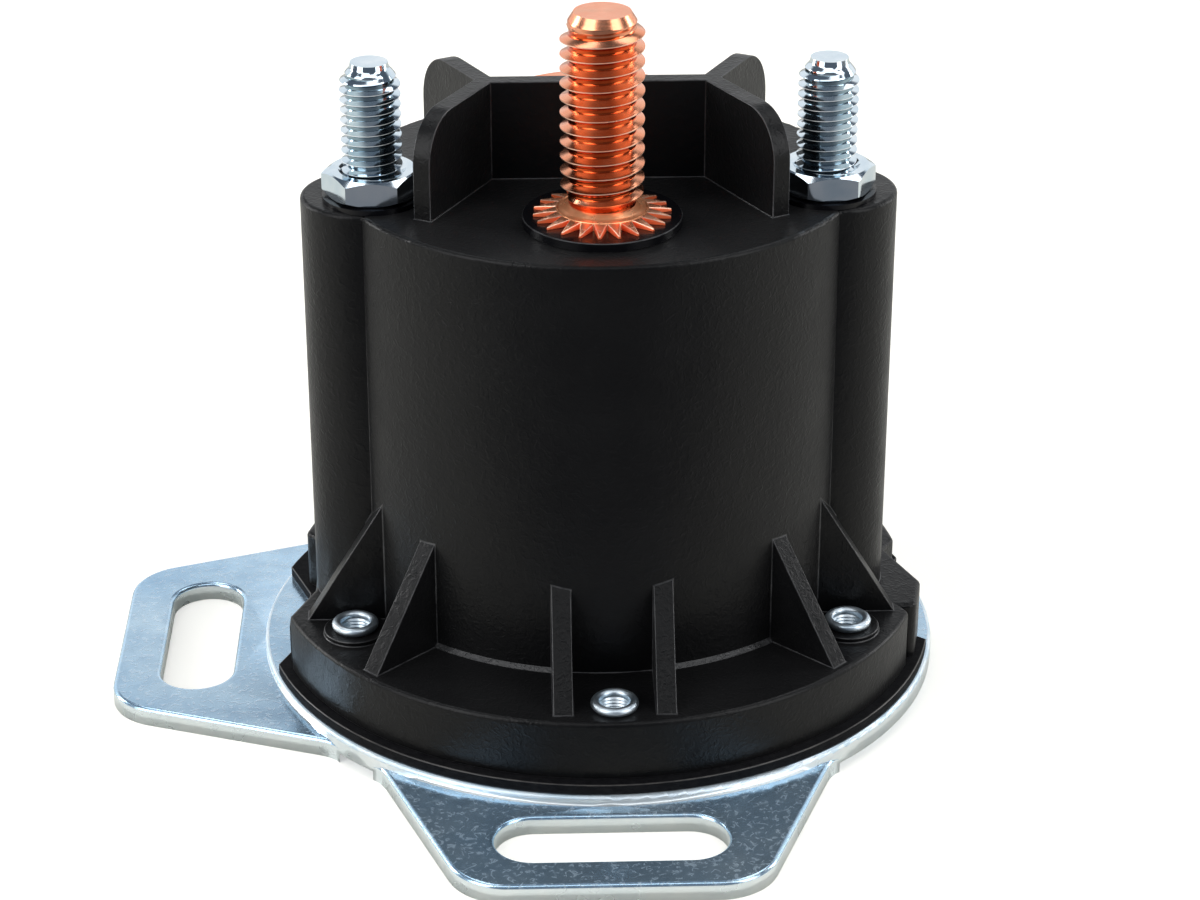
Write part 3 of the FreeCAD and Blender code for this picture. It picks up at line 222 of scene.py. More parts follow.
light_room()
lay_floor()
hang_lamp("left_soft_box", (-0.62, -0.48, 0.42), 0.55, 0.75, 4.0)
hang_lamp("right_soft_box", (0.64, -0.46, 0.42), 0.45, 0.75, 3.0)
hang_lamp("left_strip", (-0.75, 0.25, 0.16), 0.16, 0.60, 3.0)
hang_lamp("right_strip", (0.78, 0.25, 0.16), 0.14, 0.60, 2.0)
hang_lamp("top_left_box", (-0.27, 0.28, 0.86), 0.24, 0.70, 1.2, aim=None)
hang_lamp("top_right_box", (0.43, 0.28, 0.86), 0.34, 0.70, 1.6, aim=None)
hang_lamp("front_box", (0.0, -0.42, 0.75), 0.90, 0.24, 1.1)


# The mounting bracket.
# One stamped steel plate, plated with zinc: two flat ears with a long slot each, and a round
# platform pressed up between them. The plating is satin, pale blue and finely scratched.
ZINC_LIGHT = (0.60, 0.79, 0.94)
ZINC_DARK = (0.44, 0.66, 0.87)
ZINC_STROKE = (0.86, 0.93, 0.98)
ZINC_SHADOW = (0.26, 0.44, 0.66)
SIDE_DARK, SIDE_PALE = (0.84, 0.92, 0.95), (0.92, 0.97, 0.98)
RIM_DARK, RIM_PALE = (0.66, 0.80, 0.90), (0.84, 0.92, 0.97)
PLATFORM_RIM = 0.0340
PLATFORM_STEP = 0.0020
LEVEL_FACE = 0.985
UPRIGHT_FACE = 0.3
SHORTEST_EDGE = 0.0002
SHARPEST_SMOOTH = math.radians(35.0)
FLAT_WITHIN = math.radians(0.6)


def new_finish(name, colour, roughness, metallic=0.0):
    """A material whose even values are set on the shader's own sockets."""
    finish = bpy.data.materials.new(name)
    finish.use_nodes = True
    shader = finish.node_tree.nodes["Principled BSDF"]
    shader.inputs["Base Color"].default_value = (*colour, 1.0)
    shader.inputs["Roughness"].default_value = roughness
    shader.inputs["Metallic"].default_value = metallic
    return finish


def add_pattern(finish, kind, scale, place=(0.0, 0.0, 0.0), stretch=(1.0, 1.0, 1.0), **settings):
    """A texture node on the piece's own coordinates, centred on a place and stretched."""
    tree = finish.node_tree
    where = tree.nodes.new("ShaderNodeTexCoord")
    mapping = tree.nodes.new("ShaderNodeMapping")
    mapping.vector_type = "TEXTURE"
    mapping.inputs["Location"].default_value = place
    mapping.inputs["Scale"].default_value = stretch
    texture = tree.nodes.new(kind)
    for key, value in settings.items():
        if key in texture.inputs:
            texture.inputs[key].default_value = value
        else:
            setattr(texture, key, value)
    texture.inputs["Scale"].default_value = scale
    tree.links.new(where.outputs["Object"], mapping.inputs["Vector"])
    tree.links.new(mapping.outputs["Vector"], texture.inputs["Vector"])
    return texture


def spread(finish, value, low, high, to_low=0.0, to_high=1.0):
    """Stretches part of a pattern's range over the range that is wanted."""
    tree = finish.node_tree
    ranged = tree.nodes.new("ShaderNodeMapRange")
    ranged.inputs["From Min"].default_value = low
    ranged.inputs["From Max"].default_value = high
    ranged.inputs["To Min"].default_value = to_low
    ranged.inputs["To Max"].default_value = to_high
    tree.links.new(value, ranged.inputs["Value"])
    return ranged.outputs["Result"]


def colour_between(finish, value, dark, light):
    """Paints the piece from a dark to a light colour by a pattern's value."""
    tree = finish.node_tree
    base = tree.nodes["Principled BSDF"].inputs["Base Color"]
    tree.links.new(blend_colours(tree, value, dark, light), base)


def colour_over(finish, value, colour):
    """Lays one more colour over the base colour by a pattern's value."""
    tree = finish.node_tree
    base = tree.nodes["Principled BSDF"].inputs["Base Color"]
    tree.links.new(blend_colours(tree, value, base.links[0].from_socket, colour), base)


def roughen_between(finish, value, smooth, rough):
    """Varies the roughness from one value to another by a pattern."""
    shader = finish.node_tree.nodes["Principled BSDF"]
    ranged = spread(finish, value, 0.0, 1.0, smooth, rough)
    finish.node_tree.links.new(ranged, shader.inputs["Roughness"])


def press_in(finish, value, depth):
    """Adds a pattern to the surface's relief, over any relief that is there."""
    tree = finish.node_tree
    shader = tree.nodes["Principled BSDF"]
    bump = tree.nodes.new("ShaderNodeBump")
    bump.inputs["Strength"].default_value = 1.0
    bump.inputs["Distance"].default_value = depth
    if shader.inputs["Normal"].is_linked:
        before = shader.inputs["Normal"].links[0].from_socket
        tree.links.new(before, bump.inputs["Normal"])
    tree.links.new(value, bump.inputs["Height"])
    tree.links.new(bump.outputs["Normal"], shader.inputs["Normal"])


def thin_lines(finish, scale, width):
    """Short curved lines: the even-valued curves of one pattern, broken up by another."""
    tree = finish.node_tree
    field = add_pattern(finish, "ShaderNodeTexNoise", scale, Detail=1.0, Distortion=0.8)
    off = combine(tree, "SUBTRACT", field.outputs["Fac"], 0.5)
    near = spread(finish, combine(tree, "ABSOLUTE", off, 0.0), 0.0, width, 1.0, 0.0)
    breaks = add_pattern(
        finish, "ShaderNodeTexNoise", scale * 1.7, place=(0.3, 0.1, 0.2), Detail=0.0,
    )
    kept = spread(finish, breaks.outputs["Fac"], 0.46, 0.54)
    return combine(tree, "MULTIPLY", near, kept)


def satin_zinc():
    """Clouded, finely mottled plating, with short scratches that are duller than it."""
    finish = new_finish("satin_zinc", ZINC_LIGHT, 0.3, metallic=0.84)
    clouds = add_pattern(finish, "ShaderNodeTexNoise", 55.0, Detail=4.0, Roughness=0.6)
    colour_between(finish, spread(finish, clouds.outputs["Fac"], 0.35, 0.65), ZINC_DARK, ZINC_LIGHT)
    mottle = add_pattern(
        finish, "ShaderNodeTexNoise", 330.0, place=(0.2, 0.0, 0.1), Detail=3.0, Distortion=0.6,
    )
    colour_over(finish, spread(finish, mottle.outputs["Fac"], 0.42, 0.66, 0.0, 0.24), ZINC_SHADOW)
    scratches = thin_lines(finish, 950.0, 0.09)
    colour_over(finish, combine(finish.node_tree, "MULTIPLY", scratches, 0.24), ZINC_STROKE)
    bloom = add_pattern(finish, "ShaderNodeTexNoise", 420.0, Detail=5.0, Roughness=0.7)
    roughen_between(finish, spread(finish, bloom.outputs["Fac"], 0.3, 0.7), 0.16, 0.26)
    press_in(finish, scratches, 0.000003)
    shine = spread(finish, scratches, 0.0, 1.0, 0.86, 0.68)
    shader = finish.node_tree.nodes["Principled BSDF"]
    finish.node_tree.links.new(shine, shader.inputs["Metallic"])
    return finish


def painted_light_walls_zinc():
    """The plate's upright walls, painted paler than its faces as painted light, and duller."""
    finish = new_finish("painted_light_walls_zinc", SIDE_PALE, 0.3, metallic=0.7)
    film = add_pattern(finish, "ShaderNodeTexNoise", 260.0, Detail=2.0)
    colour_between(finish, spread(finish, film.outputs["Fac"], 0.35, 0.65), SIDE_DARK, SIDE_PALE)
    roughen_between(finish, film.outputs["Fac"], 0.22, 0.36)
    return finish


def rim_painted_highlight():
    """The pressed shoulder round the platform, painted paler as a painted highlight, and rougher.
    """
    finish = new_finish("rim_painted_highlight", RIM_PALE, 0.45, metallic=0.7)
    film = add_pattern(finish, "ShaderNodeTexNoise", 300.0, Detail=3.0)
    colour_between(finish, spread(finish, film.outputs["Fac"], 0.35, 0.65), RIM_DARK, RIM_PALE)
    roughen_between(finish, film.outputs["Fac"], 0.40, 0.50)
    return finish


def add_piece(name, bm, finish, body="relay", sharp=35.0):
    """Turns a bmesh into a smooth piece that rides on a body."""
    mesh = bpy.data.meshes.new(name)
    bm.to_mesh(mesh)
    bm.free()
    mesh.shade_smooth()
    mesh.set_sharp_from_angle(angle=math.radians(sharp))
    mesh.materials.append(finish)
    piece = bpy.data.objects.new(name, mesh)
    bpy.context.scene.collection.objects.link(piece)
    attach(piece, body)
    return piece


def mark_edges(bm, soft_levels):
    """Marks the edges to round: long and sharp enough, and not between two levels where the CAD
    shape is rounded already."""
    marks = bm.edges.layers.float.new("bevel_weight_edge")
    for edge in bm.edges:
        level = (edge.verts[0].co.z + edge.verts[1].co.z) / 2
        if soft_levels[0] < level < soft_levels[1] or edge.calc_length() < SHORTEST_EDGE:
            continue
        if edge.calc_face_angle(0.0) > SHARPEST_SMOOTH:
            edge[marks] = 1.0


def crisp_copy(
    node, name, finish, sharp=30.0, edge=0.0, edge_finish=None, weld=0.000001,
    soft_levels=(0.0, 0.0),
):
    """A CAD node's own shape, its flat faces shaded flat. With an edge width, its edges are
    barely rounded and take a finish of their own."""
    bm = bmesh.new()
    bm.from_mesh(nodes[node].data)
    bm.transform(nodes[node].matrix_world)
    bmesh.ops.remove_doubles(bm, verts=bm.verts, dist=weld)
    if edge:
        bmesh.ops.dissolve_limit(
            bm, angle_limit=FLAT_WITHIN, verts=bm.verts, edges=bm.edges, delimit={"NORMAL"},
        )
        mark_edges(bm, soft_levels)
    for layer in list(bm.loops.layers.float_vector.values()):
        bm.loops.layers.float_vector.remove(layer)
    piece = add_piece(name, bm, finish, sharp=sharp)
    if "custom_normal" in piece.data.attributes:
        piece.data.attributes.remove(piece.data.attributes["custom_normal"])
    if edge:
        piece.data.materials.append(edge_finish)
        rounding = piece.modifiers.new("edges", "BEVEL")
        rounding.material = 1
        rounding.width = edge
        rounding.segments = 2
        rounding.use_clamp_overlap = False
        rounding.limit_method = "WEIGHT"
    flats = piece.modifiers.new("flats", "WEIGHTED_NORMAL")
    flats.keep_sharp = True
    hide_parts(node)
    return piece


plate = crisp_copy(
    "mounting_bracket", "mounting_bracket_plated", satin_zinc(), sharp=46.0,
)
plate.data.materials.append(painted_light_walls_zinc())
plate.data.materials.append(rim_painted_highlight())
for face in plate.data.polygons:
    at_rim = face.center.z > PLATFORM_STEP and face.center.xy.length > PLATFORM_RIM
    # Upright faces are painted paler: painted light.
    if abs(face.normal.z) < UPRIGHT_FACE:
        face.material_index = 1
    # The platform's sloped rim is painted paler: a painted highlight.
    elif at_rim and face.normal.z < LEVEL_FACE:
        face.material_index = 2


# The gasket.
# A flat fibre gasket, matt black, held between the platform and the housing. Its punched edges
# are painted a little paler than its faces, as a painted highlight.
FIBRE_DARK, FIBRE_PALE = (0.003, 0.003, 0.004), (0.012, 0.012, 0.013)
PUNCHED_DARK, PUNCHED_PALE = (0.010, 0.009, 0.009), (0.050, 0.046, 0.042)


def fibre():
    finish = new_finish("gasket_fibre", FIBRE_PALE, 0.7)
    finish.node_tree.nodes["Principled BSDF"].inputs["Specular IOR Level"].default_value = 0.08
    felt = add_pattern(
        finish, "ShaderNodeTexNoise", 900.0, stretch=(1.0, 1.0, 0.4), Detail=6.0, Roughness=0.75,
    )
    colour_between(finish, spread(finish, felt.outputs["Fac"], 0.35, 0.7), FIBRE_DARK, FIBRE_PALE)
    press_in(finish, felt.outputs["Fac"], 0.00008)
    return finish


def painted_highlight_edge(name, dark, light):
    """The finish of a sharp edge, painted a little paler than the faces beside it: a painted
    highlight.
    """
    finish = new_finish(name, light, 0.35)
    rub = add_pattern(finish, "ShaderNodeTexNoise", 700.0, Detail=4.0, Roughness=0.6)
    colour_between(finish, spread(finish, rub.outputs["Fac"], 0.35, 0.65), dark, light)
    roughen_between(finish, rub.outputs["Fac"], 0.28, 0.45)
    press_in(finish, rub.outputs["Fac"], 0.00003)
    return finish


gasket_black = fibre()
crisp_copy(
    "base_gasket", "base_gasket_punched", gasket_black, edge=0.00010,
    edge_finish=painted_highlight_edge("gasket_edge", PUNCHED_DARK, PUNCHED_PALE),
)


# The housing.
# One moulding of black plastic with a fine leathery grain, satin on its walls. Its edges and
# corners are barely rounded and painted paler as a painted highlight, and a fillet runs round the
# body's foot.
BLACK_DARK, BLACK_PALE = (0.0014, 0.0014, 0.0018), (0.0030, 0.0030, 0.0034)
CORNER_DARK, CORNER_PALE = (0.008, 0.008, 0.009), (0.046, 0.046, 0.048)
FILLET_DARK, FILLET_PALE = (0.008, 0.008, 0.009), (0.030, 0.030, 0.032)
BODY_ARC = 0.0260
BODY_ARC_OFFSET = 0.0025
FLANGE_TOP = 0.01005
DECK_ROUNDING = (0.05190, 0.05244)
FOOT_FILLET = 0.00042
FILLET_SUNK = 0.0002
FILLET_LIP = 0.00003
FOOT_ARCS = ((-41.0, -10.0), (12.0, 41.0), (139.0, 168.0), (190.0, 221.0))


def black_moulding():
    finish = new_finish("black_moulding", BLACK_PALE, 0.36)
    shader = finish.node_tree.nodes["Principled BSDF"]
    shader.inputs["Specular IOR Level"].default_value = 0.22
    shader.inputs["Sheen Weight"].default_value = 0.03
    clouds = add_pattern(finish, "ShaderNodeTexNoise", 90.0, Detail=4.0, Roughness=0.6)
    colour_between(finish, spread(finish, clouds.outputs["Fac"], 0.3, 0.7), BLACK_DARK, BLACK_PALE)
    patches = add_pattern(finish, "ShaderNodeTexNoise", 260.0, Detail=5.0, Roughness=0.6)
    roughen_between(finish, spread(finish, patches.outputs["Fac"], 0.3, 0.7), 0.30, 0.42)
    grain = add_pattern(
        finish, "ShaderNodeTexNoise", 1500.0, Detail=2.0, Roughness=0.5, Distortion=1.5,
    )
    press_in(finish, grain.outputs["Fac"], 0.000035)
    creases = thin_lines(finish, 800.0, 0.10)
    press_in(finish, creases, 0.000014)
    return finish


def foot_fillets():
    """Arcs of fillet between the gussets, from one heading to another, where the body's two
    arcs meet the flange."""
    sunk = -FILLET_SUNK
    outline = [
        (BODY_ARC + out, FLANGE_TOP + up) for out, up in (
            (sunk, sunk), (FOOT_FILLET, sunk), (FOOT_FILLET, FILLET_LIP),
            (FILLET_LIP, FOOT_FILLET), (sunk, FOOT_FILLET),
        )
    ]
    bm = bmesh.new()
    for start, end in FOOT_ARCS:
        at_front = abs(start) < 90.0
        centre = (0.0, BODY_ARC_OFFSET if at_front else -BODY_ARC_OFFSET, 0.0)
        across, ahead = math.sin(math.radians(start)), math.cos(math.radians(start))
        face = bm.faces.new([
            bm.verts.new((r * across, centre[1] - r * ahead, z)) for r, z in outline
        ])
        bmesh.ops.spin(
            bm, geom=[face], cent=centre, axis=(0.0, 0.0, 1.0), angle=math.radians(end - start),
            steps=24, use_merge=False, use_duplicate=False,
        )
    bmesh.ops.recalc_face_normals(bm, faces=bm.faces)
    return bm


moulding = black_moulding()
moulded_edge = painted_highlight_edge("moulded_edge", CORNER_DARK, CORNER_PALE)
crisp_copy(
    "relay_housing", "relay_housing_moulded", moulding, edge=0.00009,
    edge_finish=moulded_edge, weld=0.00004, soft_levels=DECK_ROUNDING,
)
# The foot fillet is painted paler than the moulding: a painted highlight.
fillet_painted_highlight = painted_highlight_edge("fillet_painted_highlight", FILLET_DARK, FILLET_PALE)
press_in(fillet_painted_highlight, thin_lines(fillet_painted_highlight, 1500.0, 0.12), 0.00002)
add_piece("relay_housing_foot_fillets", foot_fillets(), fillet_painted_highlight, sharp=30.0)


# The eyelets.
# Six rolled steel eyelets, bright zinc plated, that clamp housing, gasket and bracket together.
# Each is rolled over into a thick rim, and its bore keeps a few turning rings.
PLATING_DARK, PLATING_LIGHT = (0.58, 0.70, 0.79), (0.78, 0.85, 0.90)
EYELET_RIM = 0.0023
EYELET_BARREL = 0.0017
EYELET_BORE = 0.00136
EYELET_ROLL = 0.00045
EYELET_FOOT = 0.0003
EYELET_CHAMFER = 0.0002
FOOT_TOP = 0.00098
OFF_SEAT = 0.00001
ROLL_FROM, ROLL_TURN, ROLL_STEPS = -75.0, 20.0, 12
RING_COUNT = 4
RING_OUT, RING_IN = 0.00012, 0.00002
RING_FIRST = 0.00020
RING_HEIGHT = 0.00018
PAD_TOP = 0.01055
EYELET_PLACES = (
    (0.0006, -0.0299, FLANGE_TOP), (0.0, 0.0299, FLANGE_TOP), (0.02425, -0.0154, PAD_TOP),
    (0.0245, 0.0146, PAD_TOP), (-0.0245, 0.0146, PAD_TOP), (-0.0245, -0.0146, PAD_TOP),
)


def bright_zinc(name, smooth, rough, dark=PLATING_DARK, light=PLATING_LIGHT, metallic=1.0):
    finish = new_finish(name, light, smooth, metallic=metallic)
    film = add_pattern(finish, "ShaderNodeTexNoise", 350.0, Detail=3.0)
    colour_between(finish, spread(finish, film.outputs["Fac"], 0.3, 0.7), dark, light)
    roughen_between(finish, spread(finish, film.outputs["Fac"], 0.3, 0.7), smooth, rough)
    return finish


def turn_profile(bm, axis, outline, steps=96):
    """A closed outline of (radius, height) points, turned once round an upright axis."""
    verts = [bm.verts.new((axis[0] + r, axis[1], z)) for r, z in outline]
    edges = [bm.edges.new(pair) for pair in zip(verts, verts[1:] + verts[:1])]
    bmesh.ops.spin(
        bm, geom=verts + edges, cent=(axis[0], axis[1], 0.0), axis=(0.0, 0.0, 1.0),
        angle=2 * math.pi, steps=steps, use_merge=True,
    )
    bmesh.ops.recalc_face_normals(bm, faces=bm.faces)


def eyelet_outline(seat):
    """Foot, barrel, rolled rim, and a bore with four shallow rings just under the rim."""
    outline = [
        (EYELET_BORE, EYELET_FOOT + EYELET_CHAMFER), (EYELET_BORE + EYELET_CHAMFER, EYELET_FOOT),
        (EYELET_RIM - EYELET_CHAMFER, EYELET_FOOT), (EYELET_RIM, EYELET_FOOT + EYELET_CHAMFER),
        (EYELET_RIM, FOOT_TOP), (EYELET_BARREL, FOOT_TOP), (EYELET_BARREL, seat + OFF_SEAT),
    ]
    for step in range(ROLL_STEPS + 1):
        angle = math.radians(ROLL_FROM + ROLL_TURN * step)
        out = EYELET_RIM - EYELET_ROLL + EYELET_ROLL * math.cos(angle)
        outline.append((out, seat + EYELET_ROLL * (1 + math.sin(angle))))
    level = seat + RING_FIRST
    for ring in range(RING_COUNT):
        outline.append((EYELET_BORE + RING_OUT, level))
        outline.append((EYELET_BORE - RING_IN, level - RING_HEIGHT))
        level -= 2 * RING_HEIGHT
    return outline


plated = bright_zinc("bright_zinc", 0.07, 0.14)
soft_plate = bright_zinc("soft_zinc", 0.34, 0.44)
bm = bmesh.new()
for x, y, seat in EYELET_PLACES:
    turn_profile(bm, (x, y), eyelet_outline(seat), steps=48)
rolled = add_piece("flange_eyelets_rolled", bm, soft_plate)
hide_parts("flange_eyelets")


# The front power stud.
# Turned from copper bar, with a coarse rolled thread and a turned, chamfered end.
COPPER_DARK, COPPER_LIGHT = (0.90, 0.31, 0.15), (0.96, 0.43, 0.26)
DEEP_DARK, DEEP_LIGHT = (0.68, 0.080, 0.018), (0.84, 0.135, 0.036)
PALE_DARK, PALE_LIGHT = (0.97, 0.50, 0.33), (1.00, 0.66, 0.50)
POWER_CREST = 0.00395
POWER_ROOT = 0.00312
POWER_PITCH = 0.001411
POWER_AXIS = (0.0, -0.0125)
POWER_TIP, POWER_TIP_RADIUS = 0.07315, 0.00268
POWER_END, POWER_END_RADIUS = 0.07190, 0.00322
POWER_CHAMFER = 0.07228
POWER_LAST_CREST = 0.07120
POWER_LAST_ROOT = 0.07158
POWER_FOOT = 0.0550
POWER_RUN_OUT, POWER_RUN_OUT_ROOM = 0.0008, 0.00005
POWER_NECK = 0.00305
POWER_SHOULDER, POWER_SHOULDER_TOP = 0.00415, 0.05330
POWER_HEAD, POWER_HEAD_UNDER = 0.0056, 0.04595
DECK_UNDER = 0.04945
ROOT_BAND, CREST_BAND = 0.06, 0.03


def polished_copper(
    name, axis, smooth=0.15, rough=0.25, dark=COPPER_DARK, light=COPPER_LIGHT, metallic=1.0,
):
    """Copper turned round an axis, whose highlights are drawn out along the tool's rings."""
    finish = new_finish(name, light, smooth, metallic=metallic)
    round_axis = finish.node_tree.nodes.new("ShaderNodeTangent")
    round_axis.direction_type = "RADIAL"
    round_axis.axis = "Z"
    shader = finish.node_tree.nodes["Principled BSDF"]
    shader.inputs["Anisotropic"].default_value = 0.5
    finish.node_tree.links.new(round_axis.outputs["Tangent"], shader.inputs["Tangent"])
    film = add_pattern(finish, "ShaderNodeTexNoise", 500.0, Detail=4.0, Roughness=0.6)
    colour_between(finish, spread(finish, film.outputs["Fac"], 0.3, 0.7), dark, light)
    roughen_between(finish, spread(finish, film.outputs["Fac"], 0.3, 0.7), smooth, rough)
    lathe = add_pattern(
        finish, "ShaderNodeTexWave", 1500.0, place=(*axis, 0.0),
        wave_type="RINGS", rings_direction="Z", Distortion=0.3, Detail=1.0,
    )
    press_in(finish, lathe.outputs["Fac"], 0.0000012)
    return finish


def thread_turns(bm, axis, root, crest, pitch, bottom, top, steps=64):
    """A rolled screw thread with a flat root and a thin rounded crest, swept up its helix."""
    depth = crest - root
    root_end = pitch * 0.19
    crest_start = pitch * 0.452
    rising = [
        (root, 0.0), (root, root_end * 0.8), (root + depth * 0.07, root_end * 1.12),
        (crest - depth * 0.10, crest_start * 0.965), (crest, crest_start * 1.03),
    ]
    outline = rising + [(r, pitch - z) for r, z in reversed(rising)]
    start = bottom - 2 * pitch
    verts = [bm.verts.new((axis[0] + r, axis[1], start + z)) for r, z in outline]
    edges = [bm.edges.new(pair) for pair in zip(verts, verts[1:])]
    turns = math.ceil((top - bottom) / pitch) + 3
    bmesh.ops.spin(
        bm, geom=verts + edges, cent=(*axis, 0.0), axis=(0.0, 0.0, 1.0),
        dvec=(0.0, 0.0, pitch / steps), angle=2 * math.pi * turns, steps=steps * turns,
        use_merge=False, use_duplicate=False,
    )
    bmesh.ops.remove_doubles(bm, verts=bm.verts, dist=pitch * 0.001)


def cut_level(bm, level, keep=None):
    """Cuts a clean ring at a level. keep is "above" or "below", or None to keep both."""
    bmesh.ops.bisect_plane(
        bm, geom=bm.verts[:] + bm.edges[:] + bm.faces[:], dist=1e-8,
        plane_co=(0.0, 0.0, level), plane_no=(0.0, 0.0, 1.0),
        clear_outer=keep == "below", clear_inner=keep == "above",
    )


def limit_radius(bm, axis, levels, lows, highs):
    """Holds each point's distance from the axis between two outlines, given level by level."""
    for vert in bm.verts:
        away = Vector((vert.co.x - axis[0], vert.co.y - axis[1]))
        low = np.interp(vert.co.z, levels, lows)
        high = np.interp(vert.co.z, levels, highs)
        away *= min(max(away.length, low), high) / away.length
        vert.co.x = axis[0] + away.x
        vert.co.y = axis[1] + away.y


def draw_shank(bm, axis, steps):
    """Draws the lowest open ring down through (radius, level) steps: the plain shank and head."""
    foot = min(vert.co.z for vert in bm.verts) + 0.000001
    ring = [
        edge for edge in bm.edges
        if edge.is_boundary and max(vert.co.z for vert in edge.verts) < foot
    ]
    for radius, level in steps:
        drawn = bmesh.ops.extrude_edge_only(bm, edges=ring)["geom"]
        verts = {part for part in drawn if isinstance(part, bmesh.types.BMVert)}
        for vert in verts:
            away = Vector((vert.co.x - axis[0], vert.co.y - axis[1])).normalized() * radius
            vert.co = (axis[0] + away.x, axis[1] + away.y, level)
        ring = [edge for edge in bm.edges if edge.is_boundary and verts.issuperset(edge.verts)]


def finish_by_radius(bm, axis, root, crest, foot, top):
    """Between two levels, a thread's roots take the piece's second finish, its crests the third."""
    depth = crest - root
    for face in bm.faces:
        middle = face.calc_center_median()
        away = math.hypot(middle.x - axis[0], middle.y - axis[1])
        if not foot < middle.z < top:
            continue
        if away < root + depth * ROOT_BAND:
            face.material_index = 1
        elif away > crest - depth * CREST_BAND:
            face.material_index = 2


def close_ends(bm):
    """Fills each open ring of edges."""
    open_edges = [edge for edge in bm.edges if edge.is_boundary]
    bmesh.ops.holes_fill(bm, edges=open_edges, sides=0)
    bmesh.ops.recalc_face_normals(bm, faces=bm.faces)


copper_bar = polished_copper("turned_copper", POWER_AXIS)
# The thread's roots take a deeper, redder copper: painted shade.
deep_copper = polished_copper("shaded_copper", POWER_AXIS, 0.14, 0.24, DEEP_DARK, DEEP_LIGHT)
# The crests, and the lock washer's tooth rims, take a paler copper: a painted highlight.
crest_highlight_copper = polished_copper(
    "crest_highlight_copper", POWER_AXIS, 0.26, 0.36, PALE_DARK, PALE_LIGHT, metallic=0.72,
)
bm = bmesh.new()
thread_turns(bm, POWER_AXIS, POWER_ROOT, POWER_CREST, POWER_PITCH, POWER_FOOT, POWER_TIP)
cut_level(bm, POWER_TIP, keep="below")
cut_level(bm, POWER_CHAMFER)
cut_level(bm, POWER_FOOT - POWER_RUN_OUT, keep="above")
cut_level(bm, POWER_FOOT)
limit_radius(
    bm, POWER_AXIS,
    (POWER_FOOT, POWER_FOOT + POWER_RUN_OUT, POWER_LAST_CREST, POWER_END, POWER_CHAMFER, POWER_TIP),
    (POWER_ROOT, 0.0, 0.0, 0.0, POWER_END_RADIUS, POWER_TIP_RADIUS),
    (POWER_ROOT + POWER_RUN_OUT_ROOM, POWER_CREST, POWER_CREST, POWER_END_RADIUS,
     POWER_END_RADIUS, POWER_TIP_RADIUS),
)
draw_shank(bm, POWER_AXIS, (
    (POWER_NECK, POWER_SHOULDER_TOP), (POWER_SHOULDER, POWER_SHOULDER_TOP),
    (POWER_SHOULDER, DECK_UNDER), (POWER_HEAD, DECK_UNDER), (POWER_HEAD, POWER_HEAD_UNDER),
))
close_ends(bm)
finish_by_radius(bm, POWER_AXIS, POWER_ROOT, POWER_CREST, POWER_SHOULDER_TOP, POWER_LAST_ROOT)
stud = add_piece("front_power_stud_threaded", bm, copper_bar)
stud.data.materials.append(deep_copper)
stud.data.materials.append(crest_highlight_copper)
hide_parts("front_power_stud")


# The front insulating washer.
# A black phenolic washer under the lock washer, smoother than the housing.
INSULATION_BLACK = (0.003, 0.003, 0.004)
WASHER_BORE, WASHER_RADIUS = 0.00425, 0.00755
WASHER_BOTTOM, WASHER_TOP = 0.05245, 0.05335
WASHER_CHAMFER = 0.00009
STEEPEST_SLOPE, FLATTEST_SLOPE = 0.3, 0.9


def black_insulation():
    finish = new_finish("black_insulation", INSULATION_BLACK, 0.22)
    finish.node_tree.nodes["Principled BSDF"].inputs["Specular IOR Level"].default_value = 0.30
    film = add_pattern(finish, "ShaderNodeTexNoise", 400.0, Detail=4.0, Roughness=0.6)
    roughen_between(finish, spread(finish, film.outputs["Fac"], 0.3, 0.7), 0.18, 0.28)
    press_in(finish, film.outputs["Fac"], 0.000004)
    return finish


def finish_slopes(bm):
    """The chamfers between level and upright faces take the piece's second finish."""
    for face in bm.faces:
        if STEEPEST_SLOPE < abs(face.normal.z) < FLATTEST_SLOPE:
            face.material_index = 1


def dress(node, finish):
    """Gives a CAD node its finish."""
    mesh = nodes[node].data
    mesh.materials.clear()
    mesh.materials.append(finish)


insulation = black_insulation()
bm = bmesh.new()
turn_profile(bm, POWER_AXIS, [
    (WASHER_BORE, WASHER_BOTTOM), (WASHER_RADIUS - WASHER_CHAMFER, WASHER_BOTTOM),
    (WASHER_RADIUS, WASHER_BOTTOM + WASHER_CHAMFER), (WASHER_RADIUS, WASHER_TOP - WASHER_CHAMFER),
    (WASHER_RADIUS - WASHER_CHAMFER, WASHER_TOP), (WASHER_BORE, WASHER_TOP),
], steps=128)
finish_slopes(bm)
phenolic = add_piece(
    "front_insulating_washer_bevelled", bm, insulation, sharp=30.0,
)
# The chamfers take the paler edge finish: a painted highlight.
phenolic.data.materials.append(moulded_edge)
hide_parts("front_insulating_washer")
for node in ("rear_insulating_washer", "left_seal_washer", "right_seal_washer"):
    dress(node, insulation)


